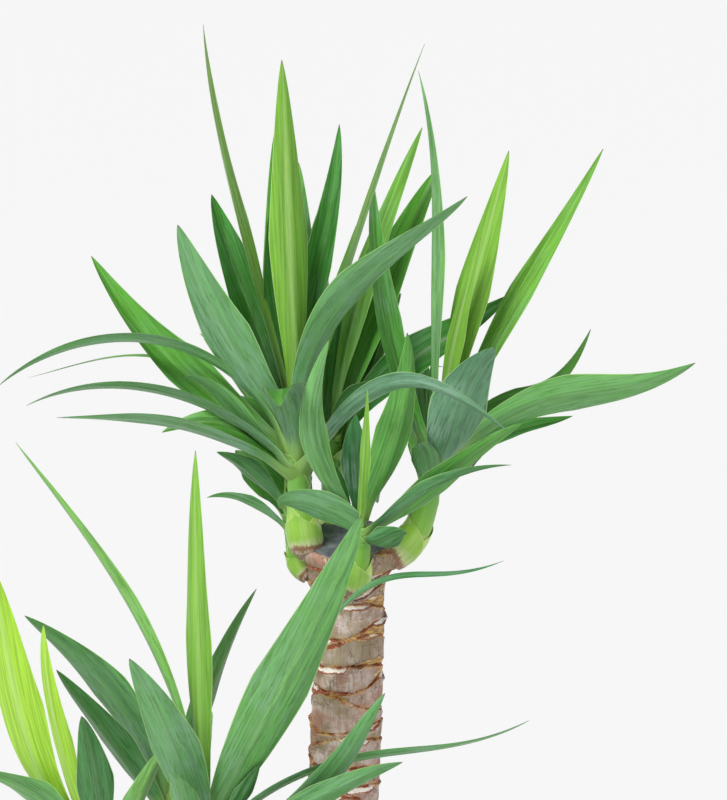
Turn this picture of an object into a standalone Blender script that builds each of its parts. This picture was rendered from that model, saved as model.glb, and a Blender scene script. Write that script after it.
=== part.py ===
"""Potted yucca: a tall and a short cane in one plain pot, each with crowns of sword leaves.

Every size is in millimetres and becomes metres where a mesh is made. The pot stands on
z = 0 round the z axis, x runs to the right and y away from whoever looks at the plant.
"""
import math

import bmesh
import bpy
import numpy as np

MM = 0.001
GAP = 0.3  # between touching pieces

# pot and soil
POT_HEIGHT = 220
POT_RIM_RADIUS = 124
POT_FOOT_RADIUS = 94
POT_WALL = 3.2
POT_FLOOR = 5
RIM_HEIGHT = 28
RIM_PROUD = 4
SOIL_LEVEL = 196
POT_STEPS = 48
RIM_EDGE = 1.0  # chamfer of the rim's edges
FOOT_EDGE_HEIGHT, FOOT_EDGE_INSET = 3.0, 2.0
SOIL_EDGE_DROP, SOIL_EDGE_WIDTH = 3.0, 4.0  # where the soil falls to the wall

# canes: middle of the foot and of the cut top, radius of the straight part
CROWN = np.array([73.0, 0.0, 725.0])  # the tall crown's middle, from which the leaves are placed
TALL_FOOT = np.array([64.0, 0.0, SOIL_LEVEL + GAP])
TALL_TOP = np.array([77.0, 0.0, 706.0])
SHORT_FOOT = np.array([-66.0, -16.0, SOIL_LEVEL + GAP])
SHORT_TOP = np.array([-88.0, -20.0, 380.0])
CANE_RADIUS = 33.0
CANE_SIDES = 24
SCAR_PITCH = 22.0  # from one leaf-scar ledge to the next
SCAR_LEDGE = 1.4
LEDGE_STARTS = 0.93  # of the way from one ledge to the next
NECK = 2.2  # how much thinner the cane is under its swollen top
NECK_LENGTH = 90.0
TOP_SWELL = 10.0
TOP_SWELL_LENGTH = 26.0
FOOT_FLARE = 6.0
FOOT_FLARE_LENGTH = 38.0
TOP_RINGS = (12.0, 4.0, 0.0)  # below the cut
CUT_SLOPE = math.radians(12)  # the saw cut falls towards the front
CUT_LENGTH = 90.0  # in which the sections tilt to the cut
CUT_ROUNDING = 2.5
BOW = 0.12  # how far the cane's middle line bends, of its lean
OVAL, LOBED = 0.025, 0.015  # how far its section is from round
WAX_THICKNESS = 3.0
WAX_INSET = 1.5
WAX_ROUNDING = 1.5

# shoots: where each leaves its cane, the foot and the top of its leafy stem, its bulb's radius
SHOOTS = {
    "tall_left": ((-32, -12, -31), (-40, -16, 18), (-45, -16, 99), 14.5),
    "tall_small": ((-28, 9, -56), (-47, 13, -33), (-53, 16, 34), 8.0),
    "tall_front": ((6, -26, -56), (12, -50, -17), (14, -50, 14), 13.0),
    "tall_right": ((33, -6, -39), (71, -10, 9), (88, -10, 75), 13.5),
    "tall_back": ((-4, 26, -45), (-11, 42, 4), (-13, 42, 79), 13.9),
    "short_left": ((-188, -34, -372), (-217, -44, -341), (-231, -50, -286), 13.9),
    "short_right": ((-140, -40, -372), (-132, -54, -322), (-124, -60, -262), 14.0),
    "short_back": ((-164, 2, -372), (-166, 10, -322), (-166, 18, -258), 13.5),
}
SHOOT_SIDES = 14
SHOOT_RINGS = 8
SHOOT_CURVE = 0.55  # how far below the bulb its curve's handle is, of the shoot's length
BULB_NECK = 0.72  # the bulb's radius where it leaves the cane, of its full one
STEM_SIDES = 10
STEM_SHARE = 0.68  # the leafy stem's radius, of the bulb's
STEM_TAPER = ((0.0, 1.0), (0.3, 0.95), (0.65, 0.8), (1.0, 0.45))  # radius at a share of its height

# leaves that are placed by eye: tip from the crown's middle, how far the low and the high
# third swing off the straight line, width, and the blade's turn from facing the front
LEAVES = {
    "tall_left": [
        ((-125, 10, 445), (-4, 15, 10), (-18, 0, 0), 26, 70),
        ((-55, -15, 415), (0, -5, 10), (0, 10, 0), 37, 15),
        ((-68, 25, 275), (-8, 15, 30), (-5, 0, 5), 30, 30),
        ((-121, 50, 290), (2, 15, -5), (-4, -5, 0), 47, 25),
        ((-145, -60, 275), (-12, 0, 5), (-13, 0, -5), 48, 25),
        ((-230, 40, 235), (-27, 15, 4), (-3, 0, -36), 44, 30),
        ((-310, -20, 125), (30, -5, 120), (-20, 0, 80), 30, 78),
        ((-295, 90, 115), (-10, 45, 115), (-10, 0, 45), 22, 80),
        ((-280, -60, 115), (25, -5, 50), (0, -10, 62), 30, 70),
        ((-250, -90, 110), (-15, -20, 44), (10, 0, 18), 32, 66),
        ((-145, -30, 135), (-10, -5, 0), (0, -5, 35), 26, 50),
        ((-105, 40, 110), (-15, 20, 35), (5, 5, 5), 20, 50),
        ((-155, 20, 110), (-20, 10, 25), (5, 0, 20), 28, 45),
        ((-54, -160, 132), (0, 20, 45), (-10, 10, 45), 42, None),
        ((105, -110, 305), (-50, -5, 65), (-10, 0, 15), 40, 45),
        ((-5, 30, 355), (-10, 25, 25), (10, 0, 0), 32, 30),
        ((70, -30, 430), (5, 0, 30), (-8, 0, -5), 22, 75),
        ((10, -25, 270), (10, -5, 25), (5, 0, 5), 24, 50),
        ((140, -125, 105), (10, -60, 115), (0, -25, 60), 28, 50),
        ((-165, 0, 80), (0, 5, 34), (0, 0, 34), 28, 30),
    ],
    "tall_small": [
        ((-115, -15, 65), (-5, 5, 15), (0, 0, 10), 22, 30),
        ((-125, 0, 20), (0, -10, 14), (0, 0, 16), 18, 55),
    ],
    "tall_front": [
        ((-13, -100, 180), (-36, -20, 10), (-36, -8, -10), 26, 15),
        ((20, -125, 143), (0, -15, 10), (0, -5, -10), 16, 50),
        ((10, -20, 100), (0, 0, 10), (-5, 0, 5), 30, 15),
        ((55, -60, 180), (4, -5, 0), (17, 0, -10), 33, 12),
        ((155, -90, 105), (-10, -5, -15), (0, 0, 10), 30, 40),
        ((145, -100, 70), (-5, -10, 10), (-10, -5, 20), 22, 60),
        ((55, -95, 8), (5, 0, -14), (0, -5, 8), 27, 25),
        ((-56, -85, 28), (37, -5, 10), (-31, -8, 34), 30, 25),
        ((-15, -15, 60), (-10, 5, 15), (5, 0, 0), 14, 50),
    ],
    "tall_right": [
        ((145, -10, 335), (-5, 0, 15), (0, 0, 0), 36, 30),
        ((120, -30, 260), (-5, -5, 15), (-5, 0, 0), 20, 40),
        ((230, 10, 335), (0, 10, 20), (0, 0, -5), 30, 45),
        ((225, 60, 165), (10, 10, 50), (5, -5, -60), 24, 45),
        ((310, -40, 150), (20, -5, 70), (-10, -5, -15), 40, 30),
        ((205, 0, 95), (20, 5, 30), (-5, 0, 5), 26, 50),
        ((130, -110, 175), (-5, -10, -5), (-10, 10, 10), 52, 5),
        ((125, 40, 50), (15, 5, 15), (0, 0, 5), 20, 40),
        ((60, -50, 75), (5, -5, 0), (5, 0, 25), 26, 10),
        ((65, -5, 405), (-5, -5, 15), (20, 5, 5), 22, 60),
        ((25, 30, 305), (-20, 20, -10), (-20, -5, 10), 30, 35),
        ((80, 5, 160), (-10, 5, 20), (0, 0, 0), 16, 50),
        ((60, 30, 100), (0, 5, -15), (5, 0, 5), 18, 40),
    ],
    "tall_back": [
        ((70, 60, 350), (-14, 0, 25), (-8, 0, 5), 32, 40),
        ((85, 90, 310), (-20, 5, -5), (5, 0, 30), 42, 20),
        ((150, 40, 200), (-10, 0, 50), (-5, 5, 0), 40, 20),
        ((90, 60, 130), (0, 5, 70), (0, 0, 30), 16, 65),
        ((50, 35, 125), (-15, 0, 30), (-5, 0, 5), 30, 40),
    ],
    "short_left": [
        ((-318, -70, -15), (-42, -5, -12), (-4, 0, 0), 46, 25),
        ((-265, -90, -75), (-6, -5, -12), (-18, 0, 5), 26, 40),
        ((-230, -120, -150), (14, -5, 0), (4, -5, 12), 36, 25),
        ((-158, -60, -190), (6, -5, 0), (0, 0, 5), 26, 40),
        ((-325, -90, -207), (-5, -10, 36), (5, -5, 10), 34, 35),
    ],
    "short_right": [
        ((-285, -100, 90), (44, -5, 50), (-6, -5, 50), 22, 60),
        ((-130, -85, 80), (0, -5, 0), (-5, 0, 0), 32, 40),
        ((15, -190, 45), (-15, 0, -18), (10, 0, 0), 53, 10),
        ((-185, -150, -90), (15, -15, -5), (5, -10, 10), 46, 10),
        ((-150, -170, -185), (-10, -20, 15), (5, 0, 10), 28, 20),
        ((160, -150, -145), (10, -20, 90), (5, -10, -10), 28, 68),
        ((35, -170, -115), (55, -20, -5), (20, 0, -5), 30, 35),
        ((50, -190, -170), (35, -25, 20), (15, 0, 15), 30, 35),
        ((140, -80, -20), (60, -20, 245), (-15, -5, 42), 24, 80),
        ((-75, -100, -200), (20, -10, 20), (5, 0, 5), 18, 30),
    ],
    "short_back": [
        ((-290, -20, -85), (22, 0, 38), (8, 10, 20), 40, 30),
        ((-260, -40, -130), (4, -14, 8), (0, 0, 2), 36, 35),
        ((-80, -20, -60), (0, 0, 0), (-16, 0, -5), 30, 45),
    ],
}

# leaves that a rule adds on the far side: how many, the middle heading round the stem
# (0 to the right, 90 to the back), how far a flat leaf turns off it, the least and the
# most lean from the stem, and the longest leaf
ADDED = {
    "tall_left": (8, 97, 50, 20, 85, 320),
    "tall_small": (1, 120, 20, 60, 80, 140),
    "tall_front": (0, 0, 0, 0, 0, 0),
    "tall_right": (7, 92, 40, 24, 88, 290),
    "tall_back": (9, 88, 55, 20, 92, 314),
    "short_left": (6, 190, 75, 62, 95, 235),
    "short_right": (6, 325, 60, 62, 95, 270),
    "short_back": (9, 90, 70, 60, 98, 240),
}
GOLDEN_ANGLE = 137.5
GOLDEN_SHARE = 0.618
FIRST_RANK = 0.3
LEAST_TURN = 0.25  # how much of the spread the most upright leaf uses
SHORTER = 0.35  # how much shorter a leaf is, with each step of rank from the longest
UNEVEN = 0.08  # how much lengths differ besides
STEM_IN_USE = 0.8
DROOP = 0.30  # how far a flat leaf's tip falls, of its length
BOW_UP = 0.55, 0.50  # how far its low and high third rise off the line, of the droop
ADDED_WIDTH, WIDTH_CHANGE = 34.0, 8.0
TRIES = 12  # for each leaf that is added
LENGTHS = 1.0, 0.9, 0.8, 0.7  # shares of its length, tried until it hides
SAMPLES = 14  # along a spine, when it is tested
EYE = np.array([89.65, -2560.5, 1286.2])  # where the viewer looks from
EYE_DISTANCE = 2600.0
PICTURE_UP = np.array([0.0, 0.174, 0.985])
LOWEST_SEEN = -356.0  # the picture's lower edge
COVER_SAMPLES = 60  # along each placed leaf
EDGE_SHARE = 0.7  # of a leaf's half width, which has to hide
OVERLAP = 1.0
USUAL_FACE = 50  # degrees, of a leaf that isn't turned
CANE_SAMPLES = 24
CANE_BERTH = 1.6  # of the cane's radius
BLADE_BERTH = 0.8  # of a leaf's half width
ABOVE_POT = 25.0
CLEARANCE = 4.0  # between an added leaf and another shoot's leaves or a cane
REACH = ((-262, 375), (-235, 285))  # of the added leaves, across and in depth
LOWEST_ROOT = 11.0  # above the foot of the leafy stem
HIGHEST_ROOT = 0.95  # of the leafy stem's height
ROOT_OFFSET = 3.0  # from the stem's middle line

# the blade
SEGMENT_LENGTH = 52.0  # of a leaf, about
FEWEST_SEGMENTS, MOST_SEGMENTS = 4, 8
LEAF_THICKNESS_SHARE = 0.0115  # of its length
ROOT_SHARE = 0.5  # of its full width
WIDEST_AT = 0.5
ROOT_LENGTH = 0.03  # of the length, before it widens
TIP_FULLNESS = 0.72  # below 1 the outline bulges, above it the outline is hollow
THINNEST = 0.02
HOLLOW_SHARE = 0.07  # how far the edges stand above the middle, of the half width
TIP_HALF_WIDTH = 0.4
UNDERSIDE = 2, 3  # places in a leaf's section
SLIVER = 0.02  # a shorter edge is taken out of a joined body
TOO_CLOSE = 0.002  # two of its points
MOST_JOINS = 12
THICKER = 0.013  # with each further try at joining
TURNED_BY = 0.4  # share of the length in which the blade turns to its final facing
ROOT_TURNED = 0.6  # share of that turn which its root has already
VIEWER = np.array([0.0, -0.985, 0.174])  # towards whoever looks at the plant
OUT_TO_VIEWER = 0.05  # how far the root's facing leans that way


def unit(v):
    return v / np.linalg.norm(v, axis=-1, keepdims=True)


def smooth(x):
    x = np.clip(x, 0.0, 1.0)
    return x * x * (3 - 2 * x)


def material(name, colour, roughness):
    m = bpy.data.materials.new(name)
    m.use_nodes = True
    shader = m.node_tree.nodes["Principled BSDF"]
    shader.inputs["Base Color"].default_value = (*colour, 1)
    shader.inputs["Roughness"].default_value = roughness
    shader.inputs["Metallic"].default_value = 0
    return m


def loft(rings, mirrored=()):
    """Points and faces of a closed body through rings of equally many points, in mm.

    A four-cornered face is split from its first corner to its third, and the other way
    where its place in the ring is in mirrored.
    """
    rings = np.asarray(rings, float)
    n, k = rings.shape[:2]
    faces = []
    for i in range(n - 1):
        for j in range(k):
            a, b = i * k + j, i * k + (j + 1) % k
            if j in mirrored:
                faces += [(a, b, a + k), (b, b + k, a + k)]
            else:
                faces += [(a, b, b + k), (a, b + k, a + k)]
    faces.append(tuple(range(k - 1, -1, -1)))
    faces.append(tuple(range((n - 1) * k, n * k)))
    return rings.reshape(-1, 3), faces


def add_mesh(name, points, faces, mat, collection):
    """One object from points in mm. Its faces are turned outwards."""
    mesh = bpy.data.meshes.new(name)
    mesh.from_pydata((np.asarray(points) * MM).tolist(), [], faces)
    bm = bmesh.new()
    bm.from_mesh(mesh)
    bmesh.ops.recalc_face_normals(bm, faces=bm.faces)
    if bm.calc_volume(signed=True) < 0:
        bmesh.ops.reverse_faces(bm, faces=bm.faces)
    bm.to_mesh(mesh)
    bm.free()
    mesh.shade_smooth()
    mesh.set_sharp_from_angle(angle=math.radians(40))
    mesh.materials.append(mat)
    ob = bpy.data.objects.new(name, mesh)
    collection.objects.link(ob)
    return ob


def turned(name, profile, mat, collection):
    """A body turned round the z axis from a profile of (radius, height) in mm."""
    mesh = bpy.data.meshes.new(name)
    points = [(r * MM, 0, z * MM) for r, z in profile]
    mesh.from_pydata(points, [(i, i + 1) for i in range(len(points) - 1)], [])
    mesh.materials.append(mat)
    ob = bpy.data.objects.new(name, mesh)
    collection.objects.link(ob)
    screw = ob.modifiers.new("turn", "SCREW")
    screw.steps = screw.render_steps = POT_STEPS
    screw.use_merge_vertices = True
    screw.merge_threshold = 0.00005
    screw.use_smooth_shade = True
    return ob


def pot(mat, collection):
    slope = (POT_RIM_RADIUS - RIM_PROUD - POT_FOOT_RADIUS) / (POT_HEIGHT - RIM_HEIGHT)
    inner_foot = POT_FOOT_RADIUS - POT_WALL + slope * POT_FLOOR
    inner_top = POT_RIM_RADIUS - RIM_PROUD - POT_WALL
    profile = [
        (0, POT_FLOOR),
        (inner_foot, POT_FLOOR),
        (inner_top, POT_HEIGHT - RIM_HEIGHT),
        (inner_top, POT_HEIGHT - RIM_EDGE),
        (inner_top + RIM_EDGE, POT_HEIGHT),
        (POT_RIM_RADIUS - RIM_EDGE, POT_HEIGHT),
        (POT_RIM_RADIUS, POT_HEIGHT - RIM_EDGE),
        (POT_RIM_RADIUS - RIM_EDGE, POT_HEIGHT - RIM_HEIGHT),
        (POT_RIM_RADIUS - RIM_PROUD, POT_HEIGHT - RIM_HEIGHT - RIM_EDGE),
        (POT_FOOT_RADIUS + slope * FOOT_EDGE_HEIGHT, FOOT_EDGE_HEIGHT),
        (POT_FOOT_RADIUS - FOOT_EDGE_INSET, 0),
        (0, 0),
    ]
    return turned("pot", profile, mat, collection)


def soil(mat, collection):
    slope = (POT_RIM_RADIUS - RIM_PROUD - POT_FOOT_RADIUS) / (POT_HEIGHT - RIM_HEIGHT)
    low = POT_FOOT_RADIUS - POT_WALL + slope * POT_FLOOR - GAP
    high = POT_RIM_RADIUS - RIM_PROUD - POT_WALL - GAP
    at_wall = SOIL_LEVEL - SOIL_EDGE_DROP
    share = (at_wall - POT_FLOOR) / (POT_HEIGHT - RIM_HEIGHT - POT_FLOOR)
    edge = low + (high - low) * min(share, 1)
    profile = [(0, SOIL_LEVEL), (edge - SOIL_EDGE_WIDTH, SOIL_LEVEL), (edge, at_wall)]
    if share > 1:
        profile.append((edge, POT_HEIGHT - RIM_HEIGHT))
    profile += [(low, POT_FLOOR + GAP), (0, POT_FLOOR + GAP)]
    return turned("soil", profile, mat, collection)


def cane_radius(up, height):
    """Half width at a height above the cane's foot: flare, ledges, neck and swollen top."""
    below_top = height - up
    flare = FOOT_FLARE * math.exp(-up / FOOT_FLARE_LENGTH)
    swell = (TOP_SWELL + NECK) * math.exp(-((below_top / TOP_SWELL_LENGTH) ** 2))
    neck = -NECK * math.exp(-below_top / NECK_LENGTH)
    ledge = SCAR_LEDGE * ((up / SCAR_PITCH) % 1.0 - 0.5)
    return CANE_RADIUS + flare + swell + neck + ledge


def cane_rings(foot, top, grow=0.0, taller=0.0):
    """Rings up a cane: a slightly oval section, leaning, with the top cut on a slope."""
    height = top[2] - foot[2]
    ups = []
    for k in range(int(height / SCAR_PITCH) + 1):
        ups += [k * SCAR_PITCH, (k + LEDGE_STARTS) * SCAR_PITCH]
    highest = height - sum(TOP_RINGS)
    ups = [up for up in ups if up < highest] + [height - below for below in TOP_RINGS]
    turn = np.arange(CANE_SIDES) * 2 * math.pi / CANE_SIDES
    rings = []
    for up in ups:
        share = up / height
        middle = foot + (top - foot) * (share - BOW * math.sin(2 * math.pi * share))
        oval = 1 + OVAL * np.cos(2 * turn + 4 * share) + LOBED * np.cos(3 * turn - 7 * share)
        radius = cane_radius(up, height) * oval + grow
        if up == height:
            radius = radius - CUT_ROUNDING
        ring = np.stack([radius * np.cos(turn), radius * np.sin(turn), 0 * turn], -1)
        slope = math.tan(CUT_SLOPE) * smooth((up - height) / CUT_LENGTH + 1)
        ring[:, 2] = up + foot[2] + ring[:, 1] * slope
        ring[:, :2] += middle[:2]
        rings.append(ring)
    rings[0][:, 2] -= grow
    rings[-1][:, 2] += grow
    if taller:
        cap = rings[-1].copy()
        cap[:, 2] += taller
        rings.append(cap)
    return rings


def wax(name, foot, top, mat, collection):
    """The thin seal over the saw cut: a low dish of the top ring's outline."""
    ring = cane_rings(foot, top)[-1]
    middle = ring.mean(axis=0)
    rings = []
    edge = WAX_THICKNESS - WAX_ROUNDING
    for inset, rise in ((0, GAP), (0, edge), (WAX_ROUNDING, WAX_THICKNESS)):
        share = 1 - (WAX_INSET + inset) / (CANE_RADIUS + TOP_SWELL)
        rings.append(middle + (ring - middle) * share + np.array([0, 0, rise]))
    return add_mesh(name, *loft(rings), mat, collection)


def round_rings(path, radii, sides):
    """Round sections across a path of points, with no twist."""
    path = np.asarray(path, float)
    tangent = unit(np.gradient(path, axis=0))
    side = unit(np.cross(tangent[0], [0.0, -1.0, 0.2]))
    turn = np.arange(sides)[:, None] * 2 * math.pi / sides
    rings = []
    for p, t, r in zip(path, tangent, radii):
        side = unit(side - (side @ t) * t)
        rings.append(p + r * (np.cos(turn) * side + np.sin(turn) * np.cross(t, side)))
    return rings


def shoot_rings(name, grow=0.0):
    """Rings up the bulb of leaf bases that a crown grows from, out of the cane's side or rim."""
    start, foot, top, bulb = SHOOTS[name]
    start, foot, top = (CROWN + np.array(p, float) for p in (start, foot, top))
    axis = unit(top - foot)
    end = foot - axis * (GAP - grow)
    handle = end - axis * SHOOT_CURVE * np.linalg.norm(end - start)
    t = np.linspace(0, 1, SHOOT_RINGS)[:, None]
    path = (1 - t) ** 2 * start + 2 * (1 - t) * t * handle + t**2 * end
    fullness = np.sin(math.pi * np.clip(t[:, 0] * 1.15, 0, 1)) * (1 - BULB_NECK)
    radii = bulb * (BULB_NECK + fullness - 0.02 * t[:, 0])
    return round_rings(path, radii + grow, SHOOT_SIDES)


def stem_radius(name):
    return SHOOTS[name][3] * STEM_SHARE


def leaf_root(name, tip, low):
    """Upright leaves sit high on the leafy stem, spreading ones low. Also the stem's axis."""
    foot, top = (CROWN + np.array(p, float) for p in SHOOTS[name][1:3])
    axis = unit(top - foot)
    start = unit(tip + low - (foot + top) / 2)
    lean = math.degrees(math.acos(np.clip(start @ axis, -1, 1)))
    lowest = LOWEST_ROOT / np.linalg.norm(top - foot)
    share = float(np.clip(1 - lean / 90, lowest, HIGHEST_ROOT))
    out = unit(start - (start @ axis) * axis)
    return foot + (top - foot) * share + out * ROOT_OFFSET, axis


def spine(name, tip, low, high, n):
    """A cubic curve whose handles are the third points of the line, swung by low and high."""
    root, axis = leaf_root(name, tip, low)
    first = root + (tip - root) / 3 + low
    second = root + (tip - root) * 2 / 3 + high
    t = np.linspace(0, 1, n)[:, None]
    back = 1 - t
    points = back**3 * root + 3 * back**2 * t * first + 3 * back * t**2 * second + t**3 * tip
    along = back**2 * (first - root) + 2 * back * t * (second - first) + t**2 * (tip - second)
    return t[:, 0], points, unit(along), axis


def blade_sides(along, axis, face):
    """Directions across the blade: round the stem at the root, turned to its facing above."""
    out = along[0] - (along[0] @ axis) * axis
    out = unit(out + OUT_TO_VIEWER * VIEWER)
    across = np.cross(axis, out)
    carried = []
    for tangent in along:
        across = unit(across - (across @ tangent) * tangent)
        carried.append(across)
    carried = np.array(carried)
    if face is None:
        return carried
    n = len(along)
    k = round(TURNED_BY * (n - 1))
    broad = unit(np.cross(along[k], VIEWER))
    deep = np.cross(along[k], broad)
    now = math.atan2(carried[k] @ deep, carried[k] @ broad)
    choices = [math.radians(s * face + c) for s in (1, -1) for c in (0, 180)]
    turned = ROOT_TURNED + (1 - ROOT_TURNED) * smooth(np.linspace(0, 1, n) / TURNED_BY)
    turns = [(c - now + math.pi) % (2 * math.pi) - math.pi for c in choices]
    turn = min(turns, key=abs)
    angle = turn * turned[:, None]
    return np.cos(angle) * carried + np.sin(angle) * np.cross(along, carried)


def blade_width(t, width):
    """Full width: half at the root, widest in the middle, a long sharp tip."""
    rise = ROOT_SHARE + (1 - ROOT_SHARE) * smooth((t - ROOT_LENGTH) / WIDEST_AT)
    fall = np.clip((1 - t) / WIDEST_AT, 0, 1) ** TIP_FULLNESS
    return width * rise * fall


def leaf(name, tip, low, high, width, face, thicker=1.0):
    """A sword leaf: four-cornered sections with a hollow upper side and a sharp tip.

    The underside's faces are split as the upper side's are, so the two never cross.
    """
    reach = np.linalg.norm(tip - leaf_root(name, tip, low)[0])
    segments = int(np.clip(round(reach / SEGMENT_LENGTH), FEWEST_SEGMENTS, MOST_SEGMENTS))
    t, points, along, axis = spine(name, tip, low, high, segments + 1)
    across = blade_sides(along, axis, face)
    upper = np.cross(along, across)
    length = np.linalg.norm(np.diff(points, axis=0), axis=1).sum()
    half = blade_width(t, width)[:, None] / 2
    thinning = np.sqrt(np.clip(1 - t, THINNEST, 1))[:, None]
    thick = thicker * LEAF_THICKNESS_SHARE * length * thinning
    half[-1] = TIP_HALF_WIDTH
    hollow = half * HOLLOW_SHARE
    rings = np.stack(
        [
            points + across * half + upper * hollow,
            points + upper * thick / 2,
            points - across * half + upper * hollow,
            points - upper * thick / 2,
        ],
        axis=1,
    )
    return loft(rings, UNDERSIDE)


def seen(points):
    """Across and up in the picture, in mm, as the viewer's eye sees the points."""
    away = points - EYE
    flat = np.stack([away[:, 0], away @ PICTURE_UP], -1)
    return flat / (away @ -VIEWER)[:, None] * EYE_DISTANCE


def cover(rows, canes):
    """Where the placed leaves and the canes are in the picture, and their half widths."""
    places, halves = [], []
    for name, placed in rows.items():
        for tip, low, high, width, face in placed:
            t, points, _, _ = spine(name, tip, low, high, COVER_SAMPLES)
            turned = math.cos(math.radians(USUAL_FACE if face is None else face))
            places.append(seen(points))
            halves.append(blade_width(t, width) / 2 * turned)
    share = np.linspace(0, 1, COVER_SAMPLES)[:, None]
    for foot, top in canes:
        places.append(seen(foot + (top - foot) * share))
        halves.append(np.full(COVER_SAMPLES, CANE_RADIUS))
    return np.concatenate(places), np.concatenate(halves)


def behind(name, row, shown):
    """True where a leaf's outer half hides behind placed leaves, or below the picture."""
    _, points, half = held(name, row)
    flat = seen(points)
    along = unit(np.gradient(flat, axis=0))
    beside = np.stack([-along[:, 1], along[:, 0]], -1) * half[:, None] * EDGE_SHARE
    outer = slice(SAMPLES // 2, None)
    spots = np.concatenate([flat[outer], (flat + beside)[outer], (flat - beside)[outer]])
    places, halves = shown
    apart = np.linalg.norm(spots[:, None] - places[None], axis=2)
    covered = (apart < halves[None] + OVERLAP).any(axis=1)
    return bool((covered | (spots[:, 1] < LOWEST_SEEN)).all())


def added_leaves(name, taken, shown):
    """Leaves on the far side, by a golden-angle rule, that keep clear of other shoots.

    A leaf's rank runs from 0, upright and close to the middle heading, to 1, flat and
    turned furthest to either side. A leaf is made shorter until it hides behind the
    placed ones, so that the sky between those stays open.
    """
    count, middle, spread, least, most, longest = ADDED[name]
    foot, top = (CROWN + np.array(p, float) for p in SHOOTS[name][1:3])
    axis = unit(top - foot)
    right = unit(np.cross([0.0, 1.0, 0.0], axis))
    back = np.cross(axis, right)
    rows = []
    for k in range(TRIES * count):
        if len(rows) == count:
            break
        rank = (k * GOLDEN_SHARE + FIRST_RANK) % 1.0
        side = ((k * GOLDEN_ANGLE) % 360.0) / 180.0 - 1.0
        heading = math.radians(middle + spread * side * (LEAST_TURN + (1 - LEAST_TURN) * rank))
        lean = math.radians(least + (most - least) * rank)
        full = longest * (1.0 - SHORTER * abs(rank - FIRST_RANK) - UNEVEN * math.sin(3.1 * k))
        out = math.cos(heading) * right + math.sin(heading) * back
        way = math.cos(lean) * axis + math.sin(lean) * out
        width = ADDED_WIDTH + WIDTH_CHANGE * math.sin(2.4 * k)
        for share in LENGTHS:
            length = full * share
            droop = np.array([0, 0, DROOP * length * math.sin(lean) ** 2])
            tip = foot + (top - foot) * (1 - rank) * STEM_IN_USE + way * length - droop
            row = (tip, droop * BOW_UP[0], droop * BOW_UP[1], width, None)
            if clear(name, row, taken) and behind(name, row, shown):
                rows.append(row)
                break
    return rows


def clear(name, row, taken):
    """True where the leaf's spine stays off the spines of every other shoot's leaves."""
    tip, low, high, width, _ = row
    t, points, _, _ = spine(name, tip, low, high, SAMPLES)
    half = blade_width(t, width) / 2
    if points[:, 2].min() < POT_HEIGHT + ABOVE_POT:
        return False
    for axis, (least, most) in enumerate(REACH):
        if points[:, axis].min() < least or points[:, axis].max() > most:
            return False
    for other, centres, halves in taken:
        if other == name:
            continue
        apart = np.linalg.norm(points[:, None] - centres[None], axis=2)
        if (apart < (half[:, None] + halves[None]) * BLADE_BERTH + CLEARANCE).any():
            return False
    return True


def all_leaves():
    """Every shoot's leaves: those placed by eye, then those that the rule adds."""
    rows = {}
    share = np.linspace(0, 1, CANE_SAMPLES)[:, None]
    berth = np.full(CANE_SAMPLES, CANE_RADIUS * CANE_BERTH)
    canes = ((TALL_FOOT, TALL_TOP), (SHORT_FOOT, SHORT_TOP))
    taken = [("cane", foot + (top - foot) * share, berth) for foot, top in canes]
    for name, placed in LEAVES.items():
        rows[name] = []
        for tip, low, high, width, face in placed:
            tip, low, high = (np.array(p, float) for p in (tip, low, high))
            rows[name].append((CROWN + tip, low, high, width, face))
        taken += [held(name, row) for row in rows[name]]
    shown = cover(rows, canes)
    for name in LEAVES:
        more = added_leaves(name, taken, shown)
        rows[name] += more
        taken += [held(name, row) for row in more]
    return rows


def held(name, row):
    """A leaf's spine and half widths, as the test for clearance reads them."""
    tip, low, high, width, _ = row
    t, points, _, _ = spine(name, tip, low, high, SAMPLES)
    return name, points, blade_width(t, width) / 2


def bodies_of(bm):
    """The faces of each body in a mesh, the largest body last."""
    bodies = []
    left = set(bm.faces)
    while left:
        reached = [left.pop()]
        body = []
        while reached:
            face = reached.pop()
            body.append(face)
            for edge in face.edges:
                for other in edge.link_faces:
                    if other in left:
                        left.remove(other)
                        reached.append(other)
        bodies.append(body)
    return sorted(bodies, key=lambda body: sum(face.calc_area() for face in body))


def tidied(mesh):
    """Drops sealed hollows, loose scraps and slivers. True where one sound body is left."""
    bm = bmesh.new()
    bm.from_mesh(mesh)
    bmesh.ops.triangulate(bm, faces=bm.faces)
    bmesh.ops.dissolve_degenerate(bm, edges=bm.edges, dist=SLIVER * MM)
    bmesh.ops.triangulate(bm, faces=bm.faces)
    extra = [face for body in bodies_of(bm)[:-1] for face in body]
    bmesh.ops.delete(bm, geom=extra, context="FACES")
    bm.to_mesh(mesh)
    points = len(bm.verts)
    bmesh.ops.remove_doubles(bm, verts=bm.verts, dist=TOO_CLOSE * MM)
    closed = all(len(edge.link_faces) == 2 for edge in bm.edges)
    whole = len(bm.verts) == points and len(bodies_of(bm)) == 1
    bm.free()
    return closed and whole


def hidden(ob):
    """Marks a cutter, which is left out of the model."""
    ob.hide_render = True
    ob.display_type = "WIRE"
    return ob


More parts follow.
